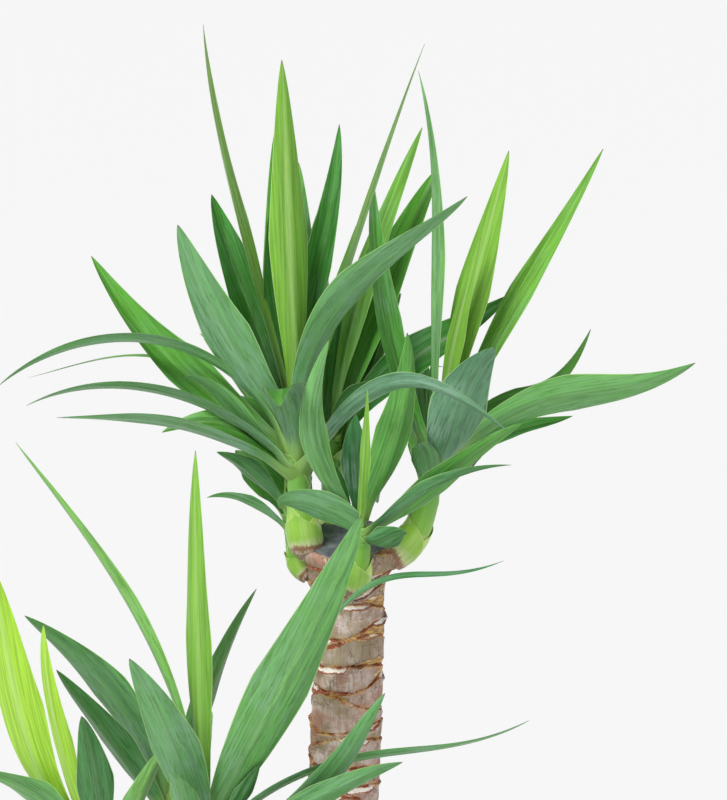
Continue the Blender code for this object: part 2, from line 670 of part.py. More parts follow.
def leaf_mass(name, rows, mat, collection, cutters):
    """A short stem with all the leaves of one shoot joined to it by one Boolean union.

    What would reach into the shoot below is cut clear of it. Where two leaves meet edge on
    edge the body isn't sound, and it is joined again with leaves a little thicker.
    """
    foot, top = (CROWN + np.array(p, float) for p in SHOOTS[name][1:3])
    radius = stem_radius(name)
    path = [foot + (top - foot) * share for share, _ in STEM_TAPER]
    stem = round_rings(path, [radius * taper for _, taper in STEM_TAPER], STEM_SIDES)
    ob = add_mesh(name + "_leaves", *loft(stem), mat, collection)
    around = hidden(add_mesh(name + "_around", *loft(shoot_rings(name, GAP)), mat, cutters))
    for attempt in range(MOST_JOINS):
        pieces = bpy.data.collections.new(name + "_pieces")
        cutters.children.link(pieces)
        for k, row in enumerate(rows):
            add_mesh(f"{name}_leaf_{k}", *leaf(name, *row, 1 + THICKER * attempt), mat, pieces)
        join = ob.modifiers.new("join", "BOOLEAN")
        join.operand_type = "COLLECTION"
        join.collection = pieces
        join.operation = "UNION"
        join.solver = "MANIFOLD"
        cut(ob, around).solver = "MANIFOLD"
        bpy.context.view_layer.update()
        depsgraph = bpy.context.evaluated_depsgraph_get()
        joined = bpy.data.meshes.new_from_object(ob.evaluated_get(depsgraph))
        ob.modifiers.clear()
        for piece in list(pieces.objects):
            bpy.data.objects.remove(piece)
        bpy.data.collections.remove(pieces)
        if tidied(joined):
            break
    ob.data = joined
    bpy.data.objects.remove(around)
    return ob


def cut(ob, cutter):
    modifier = ob.modifiers.new("cut", "BOOLEAN")
    modifier.operation = "DIFFERENCE"
    modifier.object = cutter
    return modifier


def main():
    for ob in list(bpy.data.objects):
        bpy.data.objects.remove(ob)
    plant = bpy.data.collections.new("potted_yucca")
    cutters = bpy.data.collections.new("cutters")
    for c in (plant, cutters):
        bpy.context.scene.collection.children.link(c)

    plastic = material("plastic", (0.035, 0.036, 0.038), 0.55)
    compost = material("compost", (0.035, 0.022, 0.014), 0.95)
    bark = material("bark", (0.42, 0.31, 0.24), 0.85)
    seal = material("seal", (0.055, 0.062, 0.072), 0.6)
    sheath = material("sheath", (0.30, 0.42, 0.08), 0.45)
    blade = material("blade", (0.10, 0.21, 0.06), 0.45)

    pot(plastic, plant)
    soil(compost, plant)
    canes = {"tall": (TALL_FOOT, TALL_TOP), "short": (SHORT_FOOT, SHORT_TOP)}
    taken_out = {}
    for name, (foot, top) in canes.items():
        add_mesh(name + "_cane", *loft(cane_rings(foot, top)), bark, plant)
        wax(name + "_wax", foot, top, seal, plant)
        grown = loft(cane_rings(foot, top, GAP, WAX_THICKNESS))
        taken_out[name] = hidden(add_mesh(name + "_cutter", *grown, bark, cutters))
    rows = all_leaves()
    for name in SHOOTS:
        shoot = add_mesh(name + "_shoot", *loft(shoot_rings(name)), sheath, plant)
        cut(shoot, taken_out[name.split("_")[0]])
        leaf_mass(name, rows[name], blade, plant, cutters)


main()
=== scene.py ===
# %% [markdown]
# A potted yucca
#
# This lesson dresses a house yucca: two sawn canes in one pot, with short shoots out of their
# sides, and on each shoot a crown of sword leaves. The plain model gives every course and size.
# Here each surface is worked out again with numpy, finely, as a function of two parameters.

# %% The fixed frame
import math

import bpy
import numpy as np
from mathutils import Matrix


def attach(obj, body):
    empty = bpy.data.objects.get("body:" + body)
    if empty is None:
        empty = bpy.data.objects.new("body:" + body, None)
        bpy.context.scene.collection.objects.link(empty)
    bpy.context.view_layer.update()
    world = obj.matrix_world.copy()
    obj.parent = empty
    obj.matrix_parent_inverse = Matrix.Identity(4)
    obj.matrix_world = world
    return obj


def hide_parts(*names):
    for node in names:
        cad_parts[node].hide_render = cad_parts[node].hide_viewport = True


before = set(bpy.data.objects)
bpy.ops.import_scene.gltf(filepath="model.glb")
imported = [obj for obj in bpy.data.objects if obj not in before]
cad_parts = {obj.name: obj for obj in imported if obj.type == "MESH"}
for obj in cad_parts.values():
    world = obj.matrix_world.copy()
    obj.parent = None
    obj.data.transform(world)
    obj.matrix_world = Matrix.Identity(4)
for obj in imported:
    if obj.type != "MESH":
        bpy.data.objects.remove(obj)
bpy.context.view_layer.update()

# %% [markdown]
# Small tools
#
# Every size below is in millimetres, as a grower would give it, and turns into metres only where
# a mesh is made. A surface is a grid of points. When the grid closes round, its last column is
# joined to its first, and each open end gets a fan of triangles round a point in its middle.

# %% Vectors and soft steps
MM = 0.001
GAP = 0.3
TURN = 2 * math.pi
GOLDEN_ANGLE = 137.5


def unit(v):
    """Each vector divided by its own length."""
    return v / np.linalg.norm(v, axis=-1, keepdims=True)


def smooth(x):
    """A step from 0 to 1 with level ends: x squared times three less twice x."""
    x = np.clip(x, 0.0, 1.0)
    return x * x * (3 - 2 * x)


def hill(x, width):
    """A round hill: e to the minus (x over width) squared."""
    return np.exp(-((x / width) ** 2))


def all_round(n):
    """Even steps round one turn, from 0."""
    return np.arange(n) * TURN / n


def folded(turn):
    """The same direction, as a turn between minus and plus half a round."""
    return (turn + math.pi) % TURN - math.pi


def waves(seed, count, lowest, highest, turn, height, stretch):
    """Uneven ground on a round body: a sum of cosines.

    Each wave runs a whole number of times round the turn, so that it closes, and climbs with
    the height at a pace of its own. The sum is divided by the root of the count.
    """
    rng = np.random.default_rng(seed)
    total = 0.0
    for _ in range(count):
        rounds = rng.integers(lowest, highest + 1)
        climb = rng.normal() * stretch
        total = total + np.cos(rounds * turn + climb * height + rng.uniform(0, TURN))
    return total / math.sqrt(count)


# %% Grids to meshes
def tube_faces(rows, columns):
    """Quads of a grid that closes round, then the fans that shut its two ends."""
    grid = np.arange(rows * columns).reshape(rows, columns)
    after = np.roll(grid, -1, axis=1)
    quads = np.stack([grid[:-1], after[:-1], after[1:], grid[1:]], axis=-1).reshape(-1, 4)
    low = np.stack([after[0], grid[0], np.full(columns, grid.size)], axis=1)
    high = np.stack([grid[-1], after[-1], np.full(columns, grid.size + 1)], axis=1)
    return quads, np.concatenate([low, high])


def tube_points(rings):
    """The grid's points in one list, with the middle of its first and last ring at the end."""
    flat = rings.reshape(-1, rings.shape[-1])
    return np.concatenate([flat, rings[:1].mean(axis=1), rings[-1:].mean(axis=1)])


def on_grid(*marks):
    """Marks of a grid's points side by side, each spread over the whole grid."""
    return np.stack(np.broadcast_arrays(*marks), axis=-1)


def joined(surfaces, rows, columns):
    """Points, marks and faces of many surfaces that share one grid."""
    quads, fans = tube_faces(rows, columns)
    shift = np.arange(len(surfaces))[:, None, None] * (rows * columns + 2)
    points, marks = (np.concatenate(part) for part in zip(*surfaces))
    return points, marks, (quads[None] + shift).reshape(-1, 4), (fans[None] + shift).reshape(-1, 3)


def make_piece(name, points, faces, materials, slot, node, marks=None, worn=None, flat_over=50):
    """A finished mesh object at the origin, from points in mm and lists of faces.

    It moves with the plant and stands for a node of the plain model. slot is not used. marks
    are numbers carried by each point, which a material reads as attributes, and worn says which
    of the materials each face wears.
    """
    mesh = bpy.data.meshes.new(name)
    every = [face for part in faces for face in part.tolist()]
    mesh.from_pydata((points * MM).tolist(), [], every)
    for mark, values in (marks or {}).items():
        layer = mesh.attributes.new(mark, "FLOAT", "POINT")
        layer.data.foreach_set("value", np.asarray(values, np.float32).ravel())
    for material in materials:
        mesh.materials.append(material)
    if worn is not None:
        mesh.polygons.foreach_set("material_index", np.asarray(worn, np.int32))
    mesh.shade_smooth()
    mesh.set_sharp_from_angle(angle=math.radians(flat_over))
    piece = bpy.data.objects.new(name, mesh)
    bpy.context.scene.collection.objects.link(piece)
    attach(piece, "root")
    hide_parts(node)
    print(name, len(mesh.vertices), "points,", len(mesh.polygons), "faces")


def make_tube(name, rings, material, slot, node, **extra):
    """A piece that is one closed tube."""
    faces = tube_faces(*rings.shape[:2])
    make_piece(name, tube_points(rings), faces, [material], slot, node, **extra)


# %% [markdown]
# Building materials
#
# A node tree is easier to read as a list of steps. The class below adds a node, sets its named
# inputs, and links whatever is given as another node's output. Most finishes are layers: a
# colour, then others over it, each where some pattern lies between two ends.

# %% A small writer of node trees
class Tree:
    """Adds nodes to one node tree. A value for an input is a number, a colour or an output."""

    def __init__(self, tree):
        self.tree = tree

    def node(self, kind, inputs=None, **settings):
        made = self.tree.nodes.new(kind)
        for key, value in settings.items():
            setattr(made, key, value)
        for key, value in (inputs or {}).items():
            self.put(made.inputs[key], value)
        return made

    def put(self, socket, value):
        if isinstance(value, bpy.types.NodeSocket):
            self.tree.links.new(value, socket)
        elif isinstance(value, tuple) and socket.type == "RGBA":
            socket.default_value = (*value, 1)
        else:
            socket.default_value = value

    def marks(self, *names):
        """The numbers that the piece's points carry under these names."""
        return [self.node("ShaderNodeAttribute", attribute_name=name).outputs["Fac"] for name in names]

    def math(self, operation, *values):
        return self.node("ShaderNodeMath", dict(enumerate(values)), operation=operation).outputs[0]

    def times(self, value, *factors):
        for factor in factors:
            value = self.math("MULTIPLY", value, factor)
        return value

    def span(self, value, low, high, to_low=0.0, to_high=1.0):
        """The value carried evenly from low..high to to_low..to_high, and held at the ends."""
        ends = {"From Min": low, "From Max": high, "To Min": to_low, "To Max": to_high}
        return self.node("ShaderNodeMapRange", {"Value": value, **ends}).outputs[0]

    def blend(self, share, a, b):
        """Colour a where share is 0 and colour b where it is 1."""
        return self.node("ShaderNodeMix", {0: share, 6: a, 7: b}, data_type="RGBA").outputs[2]

    def layers(self, colour, *steps):
        """Colours laid over a first one. A step is a colour, its share, and the share's span."""
        for over, share, *ends in steps:
            colour = self.blend(self.span(share, *ends) if ends else share, colour, over)
        return colour

    def join(self, x, y, z):
        return self.node("ShaderNodeCombineXYZ", {0: x, 1: y, 2: z}).outputs[0]

    def own_place(self, scale=(1.0, 1.0, 1.0)):
        """Object coordinates in metres, stretched by scale."""
        place = self.node("ShaderNodeTexCoord").outputs["Object"]
        return self.node("ShaderNodeMapping", {"Vector": place, "Scale": scale}).outputs[0]

    def noise(self, place, scale, detail, roughness):
        inputs = {"Vector": place, "Scale": scale, "Detail": detail, "Roughness": roughness}
        return self.node("ShaderNodeTexNoise", inputs).outputs["Fac"]

    def grain(self, scale, detail, roughness, stretch=(1.0, 1.0, 1.0)):
        """Noise in the piece's own place."""
        return self.noise(self.own_place(stretch), scale, detail, roughness)

    def finish(self, shader, colour, height, strength, depth, roughness=None):
        """The last links of a material: colour, fine relief and, where it changes, roughness."""
        relief = {"Height": height, "Strength": strength, "Distance": depth}
        self.put(shader.inputs["Base Color"], colour)
        self.put(shader.inputs["Normal"], self.node("ShaderNodeBump", relief).outputs[0])
        if roughness is not None:
            self.put(shader.inputs["Roughness"], roughness)


def start_material(name, roughness, specular=0.5):
    """A material, its tree and its Principled shader."""
    made = bpy.data.materials.new(name)
    made.use_nodes = True
    shader = made.node_tree.nodes["Principled BSDF"]
    shader.inputs["Roughness"].default_value = roughness
    shader.inputs["Specular IOR Level"].default_value = specular
    return made, Tree(made.node_tree), shader


# %% [markdown]
# The studio
#
# The photograph is a product shot: one soft, high light from the left on a pale ground that
# fills the picture. A wide lamp far away does this evenly over the whole floor, and a pale sky,
# brightest above the horizon like the white walls of a studio, fills the shadows. The camera is
# a little above the crown and looks ten degrees down.

# %% Camera, floor and lights
CAMERA_DISTANCE = 2600
CAMERA_TILT = math.radians(10)
VIEW_CENTRE = np.array([89.65, 0.0, 834.7])
LENS, SENSOR = 130.0, 36
FLOOR_HALF = 60.0
PAPER = (0.92, 0.92, 0.92)
SKY_STRENGTH, WALL_STRENGTH = 0.35, 0.94
WALL_TOP = 0.16, 0.42  # the wall's light gives way to the sky's between these sines of the height
SUN_STRENGTH, SUN_SOFTNESS = 2.68, math.radians(28)
SUN_TURN = [math.radians(a) for a in (42, -14, -25)]


def studio():
    """One camera, one soft lamp, a pale sky and a paper floor."""
    scene = bpy.context.scene
    scene.view_settings.view_transform = "Standard"
    lens = bpy.data.cameras.new("camera")
    lens.sensor_fit = "VERTICAL"
    lens.sensor_width = lens.sensor_height = SENSOR
    lens.lens = LENS
    camera = bpy.data.objects.new("camera", lens)
    back = np.array([0.0, -math.cos(CAMERA_TILT), math.sin(CAMERA_TILT)])
    camera.location = (VIEW_CENTRE + CAMERA_DISTANCE * back) * MM
    camera.rotation_euler = (math.pi / 2 - CAMERA_TILT, 0, 0)
    scene.camera = camera

    lamp = bpy.data.lights.new("soft_sun", "SUN")
    lamp.energy = SUN_STRENGTH
    lamp.angle = SUN_SOFTNESS
    sun = bpy.data.objects.new("soft_sun", lamp)
    sun.rotation_euler = SUN_TURN

    world = bpy.data.worlds.new("pale_sky")
    world.use_nodes = True
    tree = Tree(world.node_tree)
    toward = tree.node("ShaderNodeTexCoord").outputs["Generated"]
    up = tree.node("ShaderNodeSeparateXYZ", {0: toward}).outputs["Z"]
    sky = world.node_tree.nodes["Background"].inputs
    tree.put(sky["Color"], (1.0, 1.0, 1.0))
    tree.put(sky["Strength"], tree.span(up, *WALL_TOP, WALL_STRENGTH, SKY_STRENGTH))
    scene.world = world

    paper, tree, shader = start_material("studio_paper", 0.9, 0.1)
    tree.put(shader.inputs["Base Color"], PAPER)
    mesh = bpy.data.meshes.new("floor")
    corners = [(x * FLOOR_HALF, y * FLOOR_HALF, 0) for x, y in ((-1, -1), (1, -1), (1, 1), (-1, 1))]
    mesh.from_pydata(corners, [], [(0, 1, 2, 3)])
    mesh.materials.append(paper)
    floor = bpy.data.objects.new("floor", mesh)
    for each in (camera, sun, floor):
        scene.collection.objects.link(each)


studio()
print("camera, floor and lights are up")

# %% [markdown]
# Ribs and veins
#
# A yucca's blade is ribbed from end to end: fine parallel veins about a millimetre apart, in
# broader bands of lighter and darker green, with short dashes and cloudy streaks over them,
# partly bloom and partly painted sheen for the light a waxy blade reflects. The pattern has to
# follow the blade round its bends, so it doesn't read a place in space. Each point of a leaf
# carries its distance across and along in metres, and a number of the leaf's own that shifts it.

# %% The vein group
def vein_group():
    """Four patterns of noise, each in a place that is drawn out along the leaf by its own share."""
    group = bpy.data.node_groups.new("blade_veins", "ShaderNodeTree")
    defaults = {"Across": 0.0, "Along": 0.0, "Own": 0.0, "Veins": 640.0, "Stretch": 0.02}
    for label, default in defaults.items():
        socket = group.interface.new_socket(label, in_out="INPUT", socket_type="NodeSocketFloat")
        socket.default_value = default
    tree = Tree(group)
    given = tree.node("NodeGroupInput").outputs
    shift = tree.times(given["Own"], 37.0)
    veins, stretch = given["Veins"], given["Stretch"]
    # share of the length, scale, detail and roughness
    patterns = {
        "Fine": (stretch, veins, 2.0, 0.6),
        "Bands": (stretch, tree.times(veins, 0.26), 1.0, 0.5),
        "Dashes": (0.08, 470.0, 3.0, 0.7),
        "Cloud": (1.0, 22.0, 3.0, 0.55),
    }
    for label in patterns:
        group.interface.new_socket(label, in_out="OUTPUT", socket_type="NodeSocketFloat")
    made = tree.node("NodeGroupOutput")
    for label, (drawn, *grain) in patterns.items():
        place = tree.join(given["Across"], tree.times(given["Along"], drawn), shift)
        tree.put(made.inputs[label], tree.noise(place, *grain))
    return group


VEINS = vein_group()
print("vein group:", len(VEINS.nodes), "nodes")


def veins_on(tree, across, along, own, **settings):
    """The vein group's outputs in a material's tree."""
    inputs = {"Across": across, "Along": along, "Own": own, **settings}
    return tree.node("ShaderNodeGroup", inputs, node_tree=VEINS).outputs


# %% [markdown]
# Greens
#
# The crown isn't one green. The youngest leaves stand upright in the middle and are a bright
# yellow green. Grown leaves are a full mid green, old ones dark, and the dark tint also stands as
# painted shade on leaves that lie in the crown's shadow. Some are greyish, with bloom and with a
# painted sheen. Each tint is a material with its own plain colour, and a leaf wears one.

# %% Leaf materials
# by letter: name, plain colour, roughness, and share of bloom with painted sheen
TINTS = {
    "l": ("lime", (0.33, 0.60, 0.014), 0.38, 0.06),
    "y": ("young", (0.170, 0.405, 0.010), 0.38, 0.08),
    "f": ("fresh", (0.155, 0.42, 0.034), 0.38, 0.34),
    "m": ("mid", (0.098, 0.35, 0.032), 0.38, 0.42),
    # dark: partly the own dark green of old leaves, partly painted shade for leaves deep in the crown
    "d": ("dark", (0.032, 0.205, 0.012), 0.36, 0.30),
    "g": ("grey", (0.082, 0.32, 0.035), 0.41, 0.68),
    "p": ("pale", (0.120, 0.37, 0.042), 0.42, 0.60),
    "b": ("blue", (0.045, 0.22, 0.060), 0.41, 0.90),
    "s": ("soft", (0.27, 0.53, 0.085), 0.42, 0.45),
    "c": ("clear", (0.088, 0.345, 0.022), 0.36, 0.12),
}
MARGIN_COLOUR = (0.50, 0.70, 0.34)
ROOT_COLOUR = (0.30, 0.50, 0.10)
RIB_COLOUR = (0.44, 0.64, 0.20)
SPINE_COLOUR = (0.16, 0.10, 0.04)
BLOOM_AND_SHEEN_COLOUR = (0.29, 0.47, 0.355)
DEEP_SHARE, LIGHT_SHARE, LIGHT_MORE = 0.58, 1.36, 0.006
YOUNG_BLOOM = 0.1  # leaves with less bloom are young
# least and most share of light bands, paleness of the rib, and strength of the dashes
YOUNG_MARKS = 0.42, 0.78, 0.45, 0.15
GROWN_MARKS = 0.15, 0.85, 0.08, 0.45


def leaf_material(name, colour, roughness, bloom_and_sheen):
    """Ribbed green, pale margin and root, brown point, paler underside, bloom and painted sheen."""
    made, tree, shader = start_material(f"leaf_{name}", roughness, 0.32)
    across, along, own, edge, share, under = tree.marks(
        "across", "along", "own", "edge", "share", "under"
    )
    veins = veins_on(tree, across, along, own)
    fine, bands, dashes = veins["Fine"], veins["Bands"], veins["Dashes"]
    deep = tuple(c * DEEP_SHARE for c in colour)
    light = tuple(c * LIGHT_SHARE + LIGHT_MORE for c in colour)
    least, most, ribbed, dashed = GROWN_MARKS if bloom_and_sheen > YOUNG_BLOOM else YOUNG_MARKS
    # painted fold shading: one half of each blade, chosen by the leaf's own number, takes about half
    # the pale bloom and sheen of the other
    side = tree.times(across, tree.math("SUBTRACT", own, 0.5))
    # bloom and painted sheen: cloudy pale streaks along the veins, partly the blade's bloom and partly
    # a painted reflection of the bright studio
    bloom_and_painted_sheen = tree.times(
        tree.span(veins["Cloud"], 0.42, 0.60, 0.08, bloom_and_sheen),
        tree.span(side, -0.0006, 0.0006, 0.55, 1.0),
        tree.span(share, 0.25, 0.9, 1.15, 0.55),
        tree.span(dashes, 0.40, 0.54, 0.25, 1.0),
        tree.span(fine, 0.38, 0.56, 0.25, 1.0),
    )
    green = tree.layers(
        deep,
        (light, bands, 0.32, 0.66, least, most),
        (deep, fine, 0.36, 0.50, 0.55, 0.0),
        (light, fine, 0.51, 0.62, 0.0, 0.55),
        (RIB_COLOUR, edge, 0.05, 0.28, ribbed, 0.0),
        (BLOOM_AND_SHEEN_COLOUR, bloom_and_painted_sheen),
        (BLOOM_AND_SHEEN_COLOUR, tree.times(under, 0.05 + 0.35 * bloom_and_sheen)),
        (deep, dashes, 0.36, 0.47, dashed, 0.0),
        (light, dashes, 0.58, 0.70, 0.0, 0.8 * dashed),
        (ROOT_COLOUR, share, 0.02, 0.15, 0.8, 0.0),
        (MARGIN_COLOUR, edge, 0.95, 0.985, 0.0, 0.65),
        (SPINE_COLOUR, share, 0.985, 0.998, 0.0, 0.8),
    )
    sheen = tree.span(veins["Cloud"], 0.3, 0.7, roughness - 0.08, roughness + 0.1)
    height = tree.math("ADD", fine, tree.times(bands, 0.8))
    tree.finish(shader, green, height, 0.45, 0.0007, sheen)
    return made


LEAF_MATERIALS = {tint[0]: leaf_material(*tint) for tint in TINTS.values()}
print("leaf materials:", ", ".join(LEAF_MATERIALS))

# %% [markdown]
# Where the leaves are
#
# The plain model places the leaves that can be seen one by one and adds more on the far side by
# a golden-angle rule. The same two lists and the same rule are written again here, so that every
# leaf keeps its place. A leaf is given by its tip from the crown's middle, by how far its low
# and high third swing off the straight line, by its width, and by the turn of its blade. An
# added leaf keeps clear of the other shoots, and is as long as the placed leaves can hide it.

# %% Canes and shoots
CROWN = np.array([73.0, 0.0, 725.0])
POT_HEIGHT = 220.0
SOIL_LEVEL = 196.0
CANES = {
    "tall": (np.array([64.0, 0.0, SOIL_LEVEL + GAP]), np.array([77.0, 0.0, 706.0])),
    "short": (np.array([-66.0, -16.0, SOIL_LEVEL + GAP]), np.array([-88.0, -20.0, 380.0])),
}
CANE_RADIUS = 33.0

# start on the cane, foot and top of the leafy stem, and the bulb's radius
SHOOTS = {
    "tall_left": ((-32, -12, -31), (-40, -16, 18), (-45, -16, 99), 14.5),
    "tall_small": ((-28, 9, -56), (-47, 13, -33), (-53, 16, 34), 8.0),
    "tall_front": ((6, -26, -56), (12, -50, -17), (14, -50, 14), 13.0),
    "tall_right": ((33, -6, -39), (71, -10, 9), (88, -10, 75), 13.5),
    "tall_back": ((-4, 26, -45), (-11, 42, 4), (-13, 42, 79), 13.9),
    "short_left": ((-188, -34, -372), (-217, -44, -341), (-231, -50, -286), 13.9),
    "short_right": ((-140, -40, -372), (-132, -54, -322), (-124, -60, -262), 14.0),
    "short_back": ((-164, 2, -372), (-166, 10, -322), (-166, 18, -258), 13.5),
}
SHOOT_CURVE = 0.55
BULB_NECK = 0.72
STEM_SHARE = 0.68


def shoot_ends(name):
    """Start on the cane, then foot and top of the leafy stem."""
    return [CROWN + np.array(p, float) for p in SHOOTS[name][:3]]


print("shoots:", ", ".join(SHOOTS))

# %% The listed leaves
# tip, low swing, high swing, width, turn of the blade, and the letter of its tint
LEAVES = {
    "tall_left": [
        ((-125, 10, 445), (-4, 15, 10), (-18, 0, 0), 26, 70, "s"),
        ((-55, -15, 415), (0, -5, 10), (0, 10, 0), 37, 15, "y"),
        ((-68, 25, 275), (-8, 15, 30), (-5, 0, 5), 30, 30, "d"),
        ((-121, 50, 290), (2, 15, -5), (-4, -5, 0), 47, 25, "d"),
        ((-145, -60, 275), (-12, 0, 5), (-13, 0, -5), 48, 25, "g"),
        ((-230, 40, 235), (-27, 15, 4), (-3, 0, -36), 44, 30, "m"),
        ((-310, -20, 125), (30, -5, 120), (-20, 0, 80), 30, 78, "g"),
        ((-295, 90, 115), (-10, 45, 115), (-10, 0, 45), 22, 80, "p"),
        ((-280, -60, 115), (25, -5, 50), (0, -10, 62), 30, 70, "g"),
        ((-250, -90, 110), (-15, -20, 44), (10, 0, 18), 32, 66, "g"),
        ((-145, -30, 135), (-10, -5, 0), (0, -5, 35), 26, 50, "m"),
        ((-105, 40, 110), (-15, 20, 35), (5, 5, 5), 20, 50, "g"),
        ((-155, 20, 110), (-20, 10, 25), (5, 0, 20), 28, 45, "d"),
        ((-54, -160, 132), (0, 20, 45), (-10, 10, 45), 42, None, "g"),
        ((105, -110, 305), (-50, -5, 65), (-10, 0, 15), 40, 45, "g"),
        ((-5, 30, 355), (-10, 25, 25), (10, 0, 0), 32, 30, "d"),
        ((70, -30, 430), (5, 0, 30), (-8, 0, -5), 22, 75, "s"),
        ((10, -25, 270), (10, -5, 25), (5, 0, 5), 24, 50, "f"),
        ((140, -125, 105), (10, -60, 115), (0, -25, 60), 28, 50, "b"),
        ((-165, 0, 80), (0, 5, 34), (0, 0, 34), 28, 30, "m"),
    ],
    "tall_small": [
        ((-115, -15, 65), (-5, 5, 15), (0, 0, 10), 22, 30, "d"),
        ((-125, 0, 20), (0, -10, 14), (0, 0, 16), 18, 55, "g"),
    ],
    "tall_front": [
        ((-13, -100, 180), (-36, -20, 10), (-36, -8, -10), 26, 15, "m"),
        ((20, -125, 143), (0, -15, 10), (0, -5, -10), 16, 50, "y"),
        ((10, -20, 100), (0, 0, 10), (-5, 0, 5), 30, 15, "b"),
        ((55, -60, 180), (4, -5, 0), (17, 0, -10), 33, 12, "c"),
        ((155, -90, 105), (-10, -5, -15), (0, 0, 10), 30, 40, "c"),
        ((145, -100, 70), (-5, -10, 10), (-10, -5, 20), 22, 60, "d"),
        ((55, -95, 8), (5, 0, -14), (0, -5, 8), 27, 25, "d"),
        ((-56, -85, 28), (37, -5, 10), (-31, -8, 34), 30, 25, "g"),
        ((-15, -15, 60), (-10, 5, 15), (5, 0, 0), 14, 50, "d"),
    ],
    "tall_right": [
        ((145, -10, 335), (-5, 0, 15), (0, 0, 0), 36, 30, "y"),
        ((120, -30, 260), (-5, -5, 15), (-5, 0, 0), 20, 40, "y"),
        ((230, 10, 335), (0, 10, 20), (0, 0, -5), 30, 45, "f"),
        ((225, 60, 165), (10, 10, 50), (5, -5, -60), 24, 45, "m"),
        ((310, -40, 150), (20, -5, 70), (-10, -5, -15), 40, 30, "m"),
        ((205, 0, 95), (20, 5, 30), (-5, 0, 5), 26, 50, "d"),
        ((130, -110, 175), (-5, -10, -5), (-10, 10, 10), 52, 5, "b"),
        ((125, 40, 50), (15, 5, 15), (0, 0, 5), 20, 40, "d"),
        ((60, -50, 75), (5, -5, 0), (5, 0, 25), 26, 10, "g"),
        ((65, -5, 405), (-5, -5, 15), (20, 5, 5), 22, 60, "p"),
        ((25, 30, 305), (-20, 20, -10), (-20, -5, 10), 30, 35, "g"),
        ((80, 5, 160), (-10, 5, 20), (0, 0, 0), 16, 50, "m"),
        ((60, 30, 100), (0, 5, -15), (5, 0, 5), 18, 40, "d"),
    ],
    "tall_back": [
        ((70, 60, 350), (-14, 0, 25), (-8, 0, 5), 32, 40, "f"),
        ((85, 90, 310), (-20, 5, -5), (5, 0, 30), 42, 20, "c"),
        ((150, 40, 200), (-10, 0, 50), (-5, 5, 0), 40, 20, "d"),
        ((90, 60, 130), (0, 5, 70), (0, 0, 30), 16, 65, "d"),
        ((50, 35, 125), (-15, 0, 30), (-5, 0, 5), 30, 40, "d"),
    ],
    "short_left": [
        ((-318, -70, -15), (-42, -5, -12), (-4, 0, 0), 46, 25, "l"),
        ((-265, -90, -75), (-6, -5, -12), (-18, 0, 5), 26, 40, "l"),
        ((-230, -120, -150), (14, -5, 0), (4, -5, 12), 36, 25, "d"),
        ((-158, -60, -190), (6, -5, 0), (0, 0, 5), 26, 40, "f"),
        ((-325, -90, -207), (-5, -10, 36), (5, -5, 10), 34, 35, "m"),
    ],
    "short_right": [
        ((-285, -100, 90), (44, -5, 50), (-6, -5, 50), 22, 60, "f"),
        ((-130, -85, 80), (0, -5, 0), (-5, 0, 0), 32, 40, "y"),
        ((15, -190, 45), (-15, 0, -18), (10, 0, 0), 53, 10, "m"),
        ((-185, -150, -90), (15, -15, -5), (5, -10, 10), 46, 10, "g"),
        ((-150, -170, -185), (-10, -20, 15), (5, 0, 10), 28, 20, "g"),
        ((160, -150, -145), (10, -20, 90), (5, -10, -10), 28, 68, "g"),
        ((35, -170, -115), (55, -20, -5), (20, 0, -5), 30, 35, "g"),
        ((50, -190, -170), (35, -25, 20), (15, 0, 15), 30, 35, "g"),
        ((140, -80, -20), (60, -20, 245), (-15, -5, 42), 24, 80, "b"),
        ((-75, -100, -200), (20, -10, 20), (5, 0, 5), 18, 30, "d"),
    ],
    "short_back": [
        ((-290, -20, -85), (22, 0, 38), (8, 10, 20), 40, 30, "g"),
        ((-260, -40, -130), (4, -14, 8), (0, 0, 2), 36, 35, "d"),
        ((-80, -20, -60), (0, 0, 0), (-16, 0, -5), 30, 45, "m"),
    ],
}
print("placed leaves:", sum(len(rows) for rows in LEAVES.values()))

# %% A leaf's course
LOWEST_ROOT = 11.0
HIGHEST_ROOT = 0.95
ROOT_OFFSET = 3.0
VIEWER = np.array([0.0, -0.985, 0.174])
OUT_TO_VIEWER = 0.05
TURNED_BY = 0.4
ROOT_TURNED = 0.6
ROOT_SHARE, ROOT_LENGTH = 0.5, 0.03
WIDEST_AT = 0.5
TIP_FULLNESS = 0.72


def leaf_root(name, tip, low):
    """Upright leaves sit high on the stem, spreading ones low. Also the stem's axis."""
    _, foot, top = shoot_ends(name)
    axis = unit(top - foot)
    start = unit(tip + low - (foot + top) / 2)
    lean = math.degrees(math.acos(np.clip(start @ axis, -1, 1)))
    lowest = LOWEST_ROOT / np.linalg.norm(top - foot)
    share = float(np.clip(1 - lean / 90, lowest, HIGHEST_ROOT))
    out = unit(start - (start @ axis) * axis)
    return foot + (top - foot) * share + out * ROOT_OFFSET, axis


def spine(name, tip, low, high, n):
    """A cubic curve whose handles are the line's third points, swung by low and high."""
    root, axis = leaf_root(name, tip, low)
    first = root + (tip - root) / 3 + low
    second = root + (tip - root) * 2 / 3 + high
    t = np.linspace(0, 1, n)[:, None]
    back = 1 - t
    points = back**3 * root + 3 * back**2 * t * first + 3 * back * t**2 * second + t**3 * tip
    along = back**2 * (first - root) + 2 * back * t * (second - first) + t**2 * (tip - second)
    return t[:, 0], points, unit(along), axis


